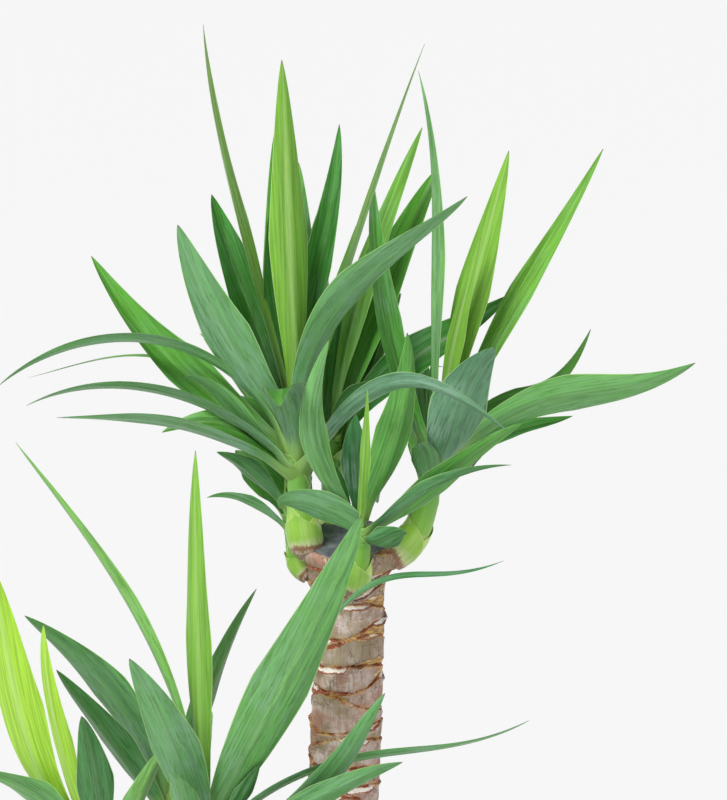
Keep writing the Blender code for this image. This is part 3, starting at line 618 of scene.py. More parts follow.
def blade_sides(along, axis, face):
    """Directions across the blade: round the stem at the root, turned to its facing above.

    Each is the one before it less its part along the new tangent, so that the blade doesn't
    twist by itself. The turn to the facing then grows by a soft step.
    """
    out = along[0] - (along[0] @ axis) * axis
    out = unit(out + OUT_TO_VIEWER * VIEWER)
    across = np.cross(axis, out)
    carried = []
    for tangent in along:
        across = unit(across - (across @ tangent) * tangent)
        carried.append(across)
    carried = np.array(carried)
    if face is None:
        return carried
    n = len(along)
    k = round(TURNED_BY * (n - 1))
    broad = unit(np.cross(along[k], VIEWER))
    deep = np.cross(along[k], broad)
    now = math.atan2(carried[k] @ deep, carried[k] @ broad)
    choices = [math.radians(s * face + c) for s in (1, -1) for c in (0, 180)]
    turned = ROOT_TURNED + (1 - ROOT_TURNED) * smooth(np.linspace(0, 1, n) / TURNED_BY)
    angle = min((folded(c - now) for c in choices), key=abs) * turned[:, None]
    return np.cos(angle) * carried + np.sin(angle) * np.cross(along, carried)


def blade_width(t, width):
    """Full width: half at the root, widest in the middle, a long sharp tip.

    It rises by a soft step. Past the middle it falls as the share of the length that is left,
    doubled, to a power a little under one.
    """
    rise = ROOT_SHARE + (1 - ROOT_SHARE) * smooth((t - ROOT_LENGTH) / WIDEST_AT)
    fall = np.clip((1 - t) / WIDEST_AT, 0, 1) ** TIP_FULLNESS
    return width * rise * fall


# %% The leaves added on the far side
# how many, middle heading round the stem, spread, least and most lean, and longest leaf
ADDED = {
    "tall_left": (8, 97, 50, 20, 85, 320),
    "tall_small": (1, 120, 20, 60, 80, 140),
    "tall_front": (0, 0, 0, 0, 0, 0),
    "tall_right": (7, 92, 40, 24, 88, 290),
    "tall_back": (9, 88, 55, 20, 92, 314),
    "short_left": (6, 190, 75, 62, 95, 235),
    "short_right": (6, 325, 60, 62, 95, 270),
    "short_back": (9, 90, 70, 60, 98, 240),
}
GOLDEN_SHARE = 0.618
FIRST_RANK = 0.3
LEAST_TURN = 0.25
SHORTER, UNEVEN = 0.35, 0.08
STEM_IN_USE = 0.8
DROOP = 0.30
BOW_UP = 0.55, 0.50
ADDED_WIDTH, WIDTH_CHANGE = 34.0, 8.0
TRIES = 12
LENGTHS = 1.0, 0.9, 0.8, 0.7
SAMPLES, CANE_SAMPLES, COVER_SAMPLES = 14, 24, 60
EYE = np.array([89.65, -2560.5, 1286.2])
EYE_DISTANCE = 2600.0
PICTURE_UP = np.array([0.0, 0.174, 0.985])
LOWEST_SEEN = -356.0
EDGE_SHARE, OVERLAP, USUAL_FACE = 0.7, 1.0, 50
CANE_BERTH, BLADE_BERTH, CLEARANCE = 1.6, 0.8, 4.0
ABOVE_POT = 25.0
LEAST_REACH = (-262, -235, POT_HEIGHT + ABOVE_POT)
MOST_REACH = (375, 285, math.inf)
# the dark tints among these are painted shade for the crown's far side and depths
ADDED_TINTS = "mdfmgdm"


def held(name, row, n=SAMPLES):
    """A leaf's spine and half widths, as the tests below read them."""
    tip, low, high, width = row[:4]
    t, points, _, _ = spine(name, tip, low, high, n)
    return name, points, blade_width(t, width) / 2


def clear(name, row, taken):
    """True where a leaf stays above the pot, in reach, and off every other shoot's leaves."""
    _, points, half = held(name, row)
    if (points.min(axis=0) < LEAST_REACH).any() or (points.max(axis=0) > MOST_REACH).any():
        return False
    for other, centres, halves in taken:
        apart = np.linalg.norm(points[:, None] - centres[None], axis=2)
        near = (half[:, None] + halves[None]) * BLADE_BERTH + CLEARANCE
        if other != name and (apart < near).any():
            return False
    return True


def seen(points):
    """Across and up in the picture, in mm, as the viewer's eye sees the points."""
    away = points - EYE
    flat = np.stack([away[:, 0], away @ PICTURE_UP], -1)
    return flat / (away @ -VIEWER)[:, None] * EYE_DISTANCE


def cover(rows, canes):
    """Where the placed leaves and the canes are in the picture, and their half widths."""
    places, halves = [], []
    for name, placed in rows.items():
        for row in placed:
            _, points, half = held(name, row, COVER_SAMPLES)
            face = USUAL_FACE if row[4] is None else row[4]
            places.append(seen(points))
            halves.append(half * math.cos(math.radians(face)))
    share = np.linspace(0, 1, COVER_SAMPLES)[:, None]
    for foot, top in canes:
        places.append(seen(foot + (top - foot) * share))
        halves.append(np.full(COVER_SAMPLES, CANE_RADIUS))
    return np.concatenate(places), np.concatenate(halves)


def behind(name, row, shown):
    """True where a leaf's outer half hides behind placed leaves, or below the picture."""
    _, points, half = held(name, row)
    flat = seen(points)
    along = unit(np.gradient(flat, axis=0))
    beside = np.stack([-along[:, 1], along[:, 0]], -1) * half[:, None] * EDGE_SHARE
    spots = np.concatenate([line[SAMPLES // 2:] for line in (flat, flat + beside, flat - beside)])
    places, halves = shown
    apart = np.linalg.norm(spots[:, None] - places[None], axis=2)
    covered = (apart < halves[None] + OVERLAP).any(axis=1)
    return bool((covered | (spots[:, 1] < LOWEST_SEEN)).all())


def added_leaves(name, taken, shown):
    """Leaves by the golden angle, ranked from upright (0) to flat (1), that keep clear.

    A leaf is made shorter until it hides behind the placed ones.
    """
    count, middle, spread, least, most, longest = ADDED[name]
    _, foot, top = shoot_ends(name)
    axis = unit(top - foot)
    right = unit(np.cross([0.0, 1.0, 0.0], axis))
    back = np.cross(axis, right)
    rows = []
    for k in range(TRIES * count):
        if len(rows) == count:
            break
        rank = (k * GOLDEN_SHARE + FIRST_RANK) % 1.0
        side = ((k * GOLDEN_ANGLE) % 360.0) / 180.0 - 1.0
        heading = math.radians(middle + spread * side * (LEAST_TURN + (1 - LEAST_TURN) * rank))
        lean = math.radians(least + (most - least) * rank)
        full = longest * (1.0 - SHORTER * abs(rank - FIRST_RANK) - UNEVEN * math.sin(3.1 * k))
        out = math.cos(heading) * right + math.sin(heading) * back
        way = math.cos(lean) * axis + math.sin(lean) * out
        width = ADDED_WIDTH + WIDTH_CHANGE * math.sin(2.4 * k)
        tint = ADDED_TINTS[k % len(ADDED_TINTS)]
        for share in LENGTHS:
            length = full * share
            droop = np.array([0, 0, DROOP * length * math.sin(lean) ** 2])
            tip = foot + (top - foot) * (1 - rank) * STEM_IN_USE + way * length - droop
            row = (tip, droop * BOW_UP[0], droop * BOW_UP[1], width, None, tint)
            if clear(name, row, taken) and behind(name, row, shown):
                rows.append(row)
                break
    return rows


def all_leaves():
    """Every shoot's leaves: those listed, then those that the rule adds."""
    rows = {}
    share = np.linspace(0, 1, CANE_SAMPLES)[:, None]
    berth = np.full(CANE_SAMPLES, CANE_RADIUS * CANE_BERTH)
    taken = [("cane", foot + (top - foot) * share, berth) for foot, top in CANES.values()]
    for name, placed in LEAVES.items():
        rows[name] = []
        for tip, low, high, *rest in placed:
            tip, low, high = (np.array(p, float) for p in (tip, low, high))
            rows[name].append((CROWN + tip, low, high, *rest))
        taken += [held(name, row) for row in rows[name]]
    shown = cover(rows, CANES.values())
    for name in LEAVES:
        more = added_leaves(name, taken, shown)
        rows[name] += more
        taken += [held(name, row) for row in more]
    return rows


EVERY_LEAF = all_leaves()
print("leaves on each shoot:", {name: len(rows) for name, rows in EVERY_LEAF.items()})

# %% [markdown]
# One sword leaf
#
# A leaf is a grid: one parameter runs up the spine from root to tip, the other round the
# section, over the upper side and back under the lower one. Near the root the section is an arc
# that clasps the stem. Above, it opens to a shallow channel, with a few soft pleats lengthwise
# and a slow wave along the edges, and it thins towards its margins and its point.

# %% The leaf's surface
STATIONS = 57
ACROSS = 12
LEAF_THICKNESS = 1.1
POINT_HALF_WIDTH = 0.3
CLASP, CLASP_LENGTH = 0.45, 0.035  # how much wider the very root is, and over what share
ROOT_FADE = 0.12
STEM_TAPER = (0, 0.3, 0.65, 1), (1, 0.95, 0.8, 0.45)
LOOSE_BY, MOST_WRAP = 1.5, 2.6
OPENED_BY = 0.30  # share of the length in which the arc opens
CHANNEL = 0.16  # how far the edges stand above the middle, of the half width
CHANNEL_CHANGE = 0.4, 1.5
PLEAT_HEIGHT, PLEAT_PITCH = 0.55, (0.55, 0.95)
WAVE, WAVE_ROUNDS = 0.05, (1.0, 2.2)
FOLD = -0.10, 0.42  # rise of each half from the rib, least and most
RIB_ROUNDING = 1.2

to_edge = np.linspace(-1, 1, ACROSS + 1)
ROUND_SECTION = np.concatenate([to_edge, to_edge[-2:0:-1]])
SIDE_OF_SECTION = np.concatenate([np.ones(ACROSS + 1), -np.ones(ACROSS - 1)])
OFF_RIB = abs(ROUND_SECTION)
SECTION = len(ROUND_SECTION)
MARKS = ("across", "along", "share", "edge", "under", "own")


def stem_radius(name, share):
    """The leafy stem narrows from the bulb's neck to less than half of that at its top."""
    return SHOOTS[name][3] * STEM_SHARE * np.interp(share, *STEM_TAPER)


def leaf_surface(name, row, rng):
    """Rings of a leaf, and the marks of its points.

    A point at distance x from the rib lies at (sin kx / k, (1 - cos kx) / k) across and above
    the spine, where k is the section's curvature: one over the stem's radius at the root, and
    little further up. Pleats add a cosine of x, the wave a sine of the length times x cubed,
    the fold the rounded size of x, and the two sides lie half a thickness above and below.
    """
    tip, low, high, width, face, _ = row
    t, points, along, axis = spine(name, tip, low, high, STATIONS)
    across = blade_sides(along, axis, face)
    upper = np.cross(along, across)
    _, foot, top = shoot_ends(name)
    root_share = float((points[0] - foot) @ axis / np.linalg.norm(top - foot))
    stem = stem_radius(name, np.clip(root_share, 0, 1))
    out = unit(-upper[0] + (upper[0] @ axis) * axis)
    points = points + out * (stem - ROOT_OFFSET) * (1 - smooth(t / ROOT_FADE))[:, None]

    half = blade_width(t, width) / 2 + CLASP * width / 2 * hill(t, CLASP_LENGTH)
    half = np.maximum(half, POINT_HALF_WIDTH)[:, None]
    t = t[:, None]
    opened = smooth(t / OPENED_BY)
    bend = (1 - opened) / (stem + LOOSE_BY)
    bend = bend + opened * 2 * CHANNEL / half * rng.uniform(*CHANNEL_CHANGE)
    x = half * ROUND_SECTION
    angle = np.clip(bend * x, -MOST_WRAP, MOST_WRAP)
    sideways = np.sin(angle) / bend
    above = (1 - np.cos(angle)) / bend

    body = np.sin(math.pi * np.clip(t, 0, 1)) ** 0.6
    pitch = rng.uniform(*PLEAT_PITCH) * width / 2
    pleat = PLEAT_HEIGHT * np.cos(TURN * x / pitch + rng.uniform(0, TURN))
    pleat = pleat * smooth(1.6 * (1 - OFF_RIB)) * body
    swing = np.sin(TURN * rng.uniform(*WAVE_ROUNDS) * t + rng.uniform(0, TURN))
    sway = WAVE * half * ROUND_SECTION**3 * swing
    thin = np.sqrt(np.clip(1 - t, 0.02, 1)) * (1 - 0.75 * ROUND_SECTION**4)
    thick = LEAF_THICKNESS / 2 * SIDE_OF_SECTION * thin * (OFF_RIB < 1)
    fold = rng.uniform(*FOLD) * (np.sqrt(x**2 + RIB_ROUNDING**2) - RIB_ROUNDING)
    rise = above + pleat + sway + thick + fold * body * opened

    rings = points[:, None] + across[:, None] * sideways[..., None] + upper[:, None] * rise[..., None]
    steps = np.linalg.norm(np.diff(points, axis=0), axis=1)
    length = np.concatenate([[0], np.cumsum(steps)])[:, None]
    marks = on_grid(x * MM, length * MM, t, OFF_RIB, SIDE_OF_SECTION < 0, rng.uniform())
    return tube_points(rings), tube_points(marks)


print("a leaf has", STATIONS * SECTION + 2, "points")

# %% [markdown]
# Sheaths
#
# Below its leaves a shoot is a bulb of old leaf bases: pointed scales, each wrapped nearly three
# quarters round and laid over the next, bright yellow green with a whitish foot and a rusty rim
# where it was torn. They follow the shoot's own curve, out of the cane's side and up the stem.

# %% The shoot's own line
SHOOT_STATIONS = 48
SWELL_SPAN = 1.15
EVEN_OVER = 7  # stations whose radii are averaged


def shoot_line(name):
    """Points up a shoot and its leafy stem, their radii, and two directions across.

    The lower part is a quadratic curve from the cane to the stem's foot, and its radius swells
    by a sine. The upper part is the straight stem.
    """
    start, foot, top = shoot_ends(name)
    axis = unit(top - foot)
    handle = foot - axis * SHOOT_CURVE * np.linalg.norm(foot - start)
    t = np.linspace(0, 1, SHOOT_STATIONS)[:, None]
    low = (1 - t) ** 2 * start + 2 * (1 - t) * t * handle + t**2 * foot
    fullness = np.sin(math.pi * np.clip(t[:, 0] * SWELL_SPAN, 0, 1)) * (1 - BULB_NECK)
    low_radius = SHOOTS[name][3] * (BULB_NECK + fullness)
    high_radius = np.minimum(low_radius[-1], stem_radius(name, t[1:, 0]))
    points = np.concatenate([low, foot + (top - foot) * t[1:]])
    radii = np.concatenate([low_radius, high_radius])
    inner = slice(EVEN_OVER // 2, -(EVEN_OVER // 2))
    radii[inner] = np.convolve(radii, np.ones(EVEN_OVER) / EVEN_OVER, "valid")
    tangent = unit(np.gradient(points, axis=0))
    side = unit(np.cross(tangent, [0.0, -1.0, 0.2]))
    return points, radii, side, np.cross(tangent, side)


def wrapped(line, place, turn, out):
    """Points round a line: at a place along it (0 to 1), a turn, and a distance off its skin."""
    points, radii, side, other = line
    at = np.linspace(0, 1, len(points))

    def read(values):
        return np.stack([np.interp(place, at, column) for column in values.T], axis=-1)

    radius = np.interp(place, at, radii) + out
    way = np.cos(turn)[..., None] * unit(read(side)) + np.sin(turn)[..., None] * unit(read(other))
    return read(points) + radius[..., None] * way


# %% The sheath material
SHEATH_GREEN = (0.20, 0.47, 0.028)
SHEATH_YELLOW = (0.58, 0.78, 0.13)
SHEATH_LIGHT = (0.68, 0.82, 0.34)
SHEATH_FOOT = (0.78, 0.70, 0.52)
STEM_GREEN = (0.115, 0.36, 0.055)
TORN_RUST = (0.27, 0.10, 0.045)
CORK_PALE = (0.58, 0.45, 0.37)
CORK_BROWN = (0.27, 0.165, 0.105)
TORN = 0.0135  # metres along the shoot, below which it is torn


def sheath_material():
    """Each scale is a green or a yellow of its own, with a pale rim; the shoot's foot is torn."""
    made, tree, shader = start_material("sheath", 0.34)
    across, along, own, share, edge = tree.marks("across", "along", "own", "share", "edge")
    veins = veins_on(tree, across, along, own, Veins=900.0)
    fine, bands = veins["Fine"], veins["Bands"]
    ragged = tree.math("ADD", along, tree.span(fine, 0.3, 0.7, -0.0012, 0.0012))
    torn = tree.math("ADD", ragged, tree.span(veins["Cloud"], 0.3, 0.7, -0.006, 0.006))
    cork = tree.grain(420.0, 3.0, 0.7, (1.0, 1.0, 0.3))
    cork_colour = tree.blend(tree.span(cork, 0.42, 0.60), CORK_BROWN, CORK_PALE)
    corky = tree.span(torn, TORN - 0.004, TORN - 0.002, 1.0, 0.0)
    green = tree.layers(
        SHEATH_GREEN,
        (SHEATH_YELLOW, own),
        (SHEATH_LIGHT, bands, 0.40, 0.70, 0.0, 0.30),
        (SHEATH_GREEN, fine, 0.38, 0.50, 0.22, 0.0),
        (STEM_GREEN, along, 0.042, 0.072, 0.0, 0.75),
        (SHEATH_FOOT, share, 0.03, 0.22, 0.8, 0.0),
        (SHEATH_LIGHT, edge, 0.88, 0.97, 0.0, 0.55),
        (SHEATH_FOOT, torn, TORN + 0.001, TORN + 0.009, 0.65, 0.0),
        (TORN_RUST, torn, TORN, TORN + 0.003, 0.9, 0.0),
        (cork_colour, corky),
    )
    height = tree.blend(corky, fine, cork)
    tree.finish(shader, green, height, 0.4, 0.0006, tree.span(corky, 0.0, 1.0, 0.34, 0.85))
    return made


SHEATH = sheath_material()

# %% Scales and bulbs
SCALES = 9
SCALE_ROWS = 22
SCALE_SPAN, SCALE_TAPER = 2.3, 2.2
SCALE_LENGTH = 0.33
SCALE_THICKNESS = 0.45
FIRST_SCALE, LAST_SCALE = 0.08, 0.66
FIRST_TURN = 250
BULB_SIDES = 40
BULB_WIDTH, BULB_LENGTH = 0.012, 0.12  # metres for each radian round, and from end to end


def scale_surface(line, k, rng):
    """One scale: up the shoot by its first parameter, round its section by its second.

    Its half span narrows as one minus the height to the power 2.2, to a point. Lower scales
    lie further out, and every tip leans off a little.
    """
    v = np.linspace(0, 1, SCALE_ROWS)[:, None]
    foot = FIRST_SCALE + (LAST_SCALE - FIRST_SCALE) * k / (SCALES - 1)
    place = foot + SCALE_LENGTH * rng.uniform(0.8, 1.15) * v
    span = SCALE_SPAN * (1 - v**SCALE_TAPER) + 0.02
    turn = math.radians(GOLDEN_ANGLE * k + FIRST_TURN) + span * ROUND_SECTION
    lift = 0.5 + 1.3 * (SCALES - k) / SCALES + 2.0 * v**3
    thick = SCALE_THICKNESS * SIDE_OF_SECTION * (1 - 0.6 * v) * (OFF_RIB < 1)
    rings = wrapped(line, place, turn, lift + thick)
    own = (k * GOLDEN_SHARE + 0.2) % 1
    marks = on_grid(turn * BULB_WIDTH, place * BULB_LENGTH, v, OFF_RIB, 0, own)
    return tube_points(rings), tube_points(marks)


def bulb_surface(line, own):
    """The shoot's smooth core, from inside the cane to the tip of its stem."""
    v = np.linspace(0, 1, 2 * SHOOT_STATIONS)[:, None]
    turn = all_round(BULB_SIDES)[None]
    marks = on_grid(turn * BULB_WIDTH, v * BULB_LENGTH, v, 0, 0, own)
    return tube_points(wrapped(line, v, turn, 0)), tube_points(marks)


def make_shoot(name, seed):
    """The bulb and its scales, as one piece that stands for the shoot's node."""
    rng = np.random.default_rng(seed)
    line = shoot_line(name)
    scales = [scale_surface(line, k, rng) for k in range(SCALES)]
    points, marks, quads, fans = joined(scales, SCALE_ROWS, SECTION)
    core_points, core_marks = bulb_surface(line, rng.uniform())
    core_faces = tube_faces(2 * SHOOT_STATIONS, BULB_SIDES)
    faces = [quads, fans, *(part + len(points) for part in core_faces)]
    points = np.concatenate([points, core_points])
    marks = np.concatenate([marks, core_marks])
    carried = dict(zip(MARKS, marks.T))
    make_piece(name + "_bulb", points, faces, [SHEATH], "sheath", name + "_shoot", carried)


for number, name in enumerate(SHOOTS):
    make_shoot(name, 40 + number)

# %% The crowns
def make_crown(name, seed):
    """All leaves of one shoot, joined. Each wears the material of its tint."""
    rng = np.random.default_rng(seed)
    rows = EVERY_LEAF[name]
    surfaces = [leaf_surface(name, row, rng) for row in rows]
    points, marks, quads, fans = joined(surfaces, STATIONS, SECTION)
    tints = [TINTS[row[5]][0] for row in rows]
    chosen = sorted(set(tints))
    tints = np.array([chosen.index(tint) for tint in tints])
    worn = np.concatenate([np.repeat(tints, len(part) // len(rows)) for part in (quads, fans)])
    materials = [LEAF_MATERIALS[tint] for tint in chosen]
    carried = dict(zip(MARKS, marks.T))
    node = name + "_leaves"
    make_piece(name + "_foliage", points, [quads, fans], materials, "blade", node, carried, worn)


for number, name in enumerate(SHOOTS):
    make_crown(name, 60 + number)

# %% [markdown]
# The canes
#
# A yucca's cane is what hundreds of leaves have left. Each one that fell has left a scar: a ragged
# line that runs round the cane in a low zigzag, with the bark of the plate below it standing
# proud as a lip, and torn rust-red skin along the line. Between lines the bark is a pale,
# pinkish grey plate with fine upright striations, stained olive or ruddy in broad zones. Here
# and there a plate has flaked, and the ochre cork under it shows as a triangle, or a white slit
# opens under the lip.

# %% Scar lines and plates
CANE_COLUMNS = 230
ROW_STEP = 1.2
SCAR_PITCH, PITCH_CHANGE = 19.0, 2.5
NECK, NECK_LENGTH = 2.2, 90.0
TOP_SWELL, TOP_SWELL_LENGTH = 10.0, 26.0
FOOT_FLARE, FOOT_FLARE_LENGTH = 6.0, 38.0
CUT_SLOPE, CUT_LENGTH, CUT_ROUNDING = math.radians(12), 90.0, 2.5
BOW = 0.12
OVAL, LOBED = 0.025, 0.015
ZIGZAG, SECOND_ZIGZAG = 8.5, 0.55
RAGGED_ROUNDS, RAGGED = (5, 9, 14, 23, 37), (0.9, 2.2)
LIP, LIP_HEIGHT = 2.1, 4.0
GROOVE, GROOVE_HEIGHT = 1.4, 1.7
SLIT, SLIT_DEPTH = 5.4, 1.0  # the tallest white slit
PATCH_WIDTH, PATCH_HEIGHT, PATCH_DEPTH = (0.5, 1.25), (8.0, 15.0), 0.7
NEAR = 12.0  # distances from a scar line are told apart up to here
KNOB, KNOB_SIZE = 3.4, 6.5
# height on the cane, turn, and size
SEEN_KNOBS = {"tall": ((432.0, -0.2, 1.25), (398.0, -1.35, 0.7)), "short": ((90.0, 2.0, 1.25),)}


def scar_lines(turn, count, seed):
    """Height of each scar line at each turn: its pitch, a zigzag of its own, and a ragged edge.

    The zigzag is a triangle wave, once round the cane, whose low point moves on by the golden
    angle with every line, plus a smaller one twice round.
    """
    k = np.arange(count)[:, None]
    rng = np.random.default_rng(seed)

    def phase():
        return rng.uniform(0, TURN, (count, 1))

    once = turn[None] - np.radians(GOLDEN_ANGLE) * k
    second = SECOND_ZIGZAG * ZIGZAG * np.sin(2 * turn[None] + phase())
    zigzag = ZIGZAG * np.arcsin(0.97 * np.cos(once)) * 2 / math.pi + second
    ragged = 0.0
    for rounds in RAGGED_ROUNDS:
        size = rng.uniform(*RAGGED, (count, 1)) / rounds**0.8
        ragged = ragged + size * np.cos(rounds * turn[None] + phase())
    uneven = rng.uniform(-PITCH_CHANGE, PITCH_CHANGE, (count, 1))
    return (k - 1) * SCAR_PITCH + uneven + zigzag + ragged


def cane_relief(turn, up, height, seed, seen_knobs):
    """How far the bark stands out at each point, and what a material needs to colour it.

    A slit opens under a scar line as a lens: its height is a clipped sum of cosines. A patch
    above a line is a triangle. Both are carried as distances inside their own edge, so that
    the colour can fray them. A knob is a round hill on the line.
    """
    count = int(height / SCAR_PITCH) + 5
    lines = scar_lines(turn, count, seed)
    index = (up[:, None, None] >= lines.T[None]).sum(axis=2) - 1
    index = np.clip(index, 0, count - 2)
    column = np.arange(len(turn))[None]
    over = np.clip(up[:, None] - lines[index, column], 0, NEAR)
    under = np.clip(lines[index + 1, column] - up[:, None], 0, NEAR)
    near = np.minimum(over, under)
    nearest = index + (under < over)
    turns, ups = np.meshgrid(turn, up)
    rng = np.random.default_rng(seed + 1)

    opening = SLIT * np.clip(1.9 * waves(seed + 6, 4, 1, 3, turns, index + 1, 2.1) - 0.30, 0, 1)
    slit = np.clip(opening - under, -3, 6)
    centre = rng.uniform(0, TURN, count)
    wide = rng.uniform(*PATCH_WIDTH, count)
    tall = rng.uniform(*PATCH_HEIGHT, count) * (rng.uniform(size=count) > 0.2)
    away = folded(turns - centre[index])
    patch = np.clip(tall[index] * (1 - abs(away) / wide[index]) - over, -3, 12)

    knob_turn = rng.uniform(0, TURN, count)
    knob_height = np.where(rng.uniform(size=count) > 0.45, rng.uniform(0.3, 0.9, count), 0.0)
    for seen_height, seen_turn, size in seen_knobs:
        place = int(np.argmin(abs(lines.mean(axis=1) - seen_height)))
        knob_turn[place], knob_height[place] = seen_turn, size
    aside = folded(turns - knob_turn[nearest]) * CANE_RADIUS
    knob = knob_height[nearest] * hill(aside, KNOB_SIZE) * hill(near, 0.7 * KNOB_SIZE)

    lip = LIP * np.clip(0.6 + 0.5 * waves(seed + 2, 6, 1, 7, turns, ups, 0.12), 0.1, 1.5)
    below = under - opening
    relief = lip * hill(below, LIP_HEIGHT) * (below > 0) - SLIT_DEPTH * smooth(slit / 0.9)
    relief = relief - GROOVE * hill(over, GROOVE_HEIGHT) - PATCH_DEPTH * smooth(patch / 1.2)
    relief = relief + 0.45 * waves(seed + 3, 8, 2, 12, turns, ups, 0.1)
    relief = relief + 0.24 * waves(seed + 4, 16, 25, 70, turns, ups, 0.02)
    relief = relief + KNOB * knob * (1 + 0.25 * waves(seed + 7, 6, 20, 50, turns, ups, 0.6))
    return relief, {"near": near, "slit": slit, "patch": patch, "knob": knob}


# %% The cane's surface
COLLAR, COLLAR_SIZE = 6.5, 14.0
COLLAR_DROP, HUSK_DROP = 6, 4
HUSK_SIZE, HUSK_BELOW_TOP = 24.0, 30


def cane_outline(up, height):
    """Half width: the usual radius, with a foot flare, a neck and a swollen top.

    The flare dies away up from the foot as an exponential, and the neck, which is taken off,
    down from the top. The swelling is a round hill at the top.
    """
    flare = FOOT_FLARE * np.exp(-up / FOOT_FLARE_LENGTH)
    swell = (TOP_SWELL + NECK) * hill(height - up, TOP_SWELL_LENGTH)
    return CANE_RADIUS + flare + swell - NECK * np.exp(-(height - up) / NECK_LENGTH)


def cane_surface(kind, seed):
    """Rings up a cane: middle line, oval section, relief, collars round the shoots."""
    foot, top = CANES[kind]
    height = top[2] - foot[2]
    up = np.concatenate([np.arange(0, height - 6, ROW_STEP), np.linspace(height - 5, height, 7)])
    turn = all_round(CANE_COLUMNS)
    share = (up / height)[:, None]
    relief, masks = cane_relief(turn, up, height, seed, SEEN_KNOBS[kind])
    oval = 1 + OVAL * np.cos(2 * turn + 4 * share) + LOBED * np.cos(3 * turn - 7 * share)
    radius = cane_outline(up, height)[:, None] * oval
    middle = foot + (top - foot) * (share - BOW * np.sin(TURN * share))
    from_top = (up - height)[:, None]
    husk = smooth((from_top + HUSK_BELOW_TOP) / HUSK_BELOW_TOP) * np.ones_like(radius)

    for name in SHOOTS:
        if name.startswith(kind):
            start = shoot_line(name)[0][SHOOT_STATIONS // 3]
            off = start - middle[np.argmin(abs(up + foot[2] - start[2]))]
            away = folded(turn - math.atan2(off[1], off[0])) * CANE_RADIUS
            rise = (up + foot[2] - start[2] + COLLAR_DROP)[:, None]
            radius = radius + COLLAR * np.exp(-(away**2 + rise**2) / COLLAR_SIZE**2)
            torn = np.exp(-(away**2 + (rise + HUSK_DROP) ** 2) / HUSK_SIZE**2)
            husk = np.maximum(husk, torn)

    near_top = np.clip((from_top + 5) / 5, 0, 1)
    radius = radius + relief * (1 - 0.6 * near_top) - CUT_ROUNDING * near_top**2
    slope = math.tan(CUT_SLOPE) * smooth(from_top / CUT_LENGTH + 1)
    x, y = radius * np.cos(turn), radius * np.sin(turn)
    z = (up + foot[2])[:, None] + y * slope
    rings = np.stack([x + middle[:, :1], y + middle[:, 1:2], z], axis=-1)
    return rings, {**masks, "husk": husk}


# %% The bark material
PLATE_PALE = (0.76, 0.65, 0.61)
PLATE_PINK = (0.53, 0.375, 0.33)
PLATE_DARK = (0.20, 0.14, 0.115)
BARK_RUST = (0.30, 0.085, 0.045)
BARK_OCHRE = (0.78, 0.49, 0.13)
BARK_SLIT = (0.90, 0.86, 0.80)
BARK_CRACK_AND_SHADE = (0.050, 0.030, 0.022)
HUSK_BROWN = (0.30, 0.17, 0.095)
BARK_WORN = (0.36, 0.22, 0.15)
BARK_OLIVE = (0.33, 0.255, 0.15)
BARK_RUDDY = (0.43, 0.205, 0.14)


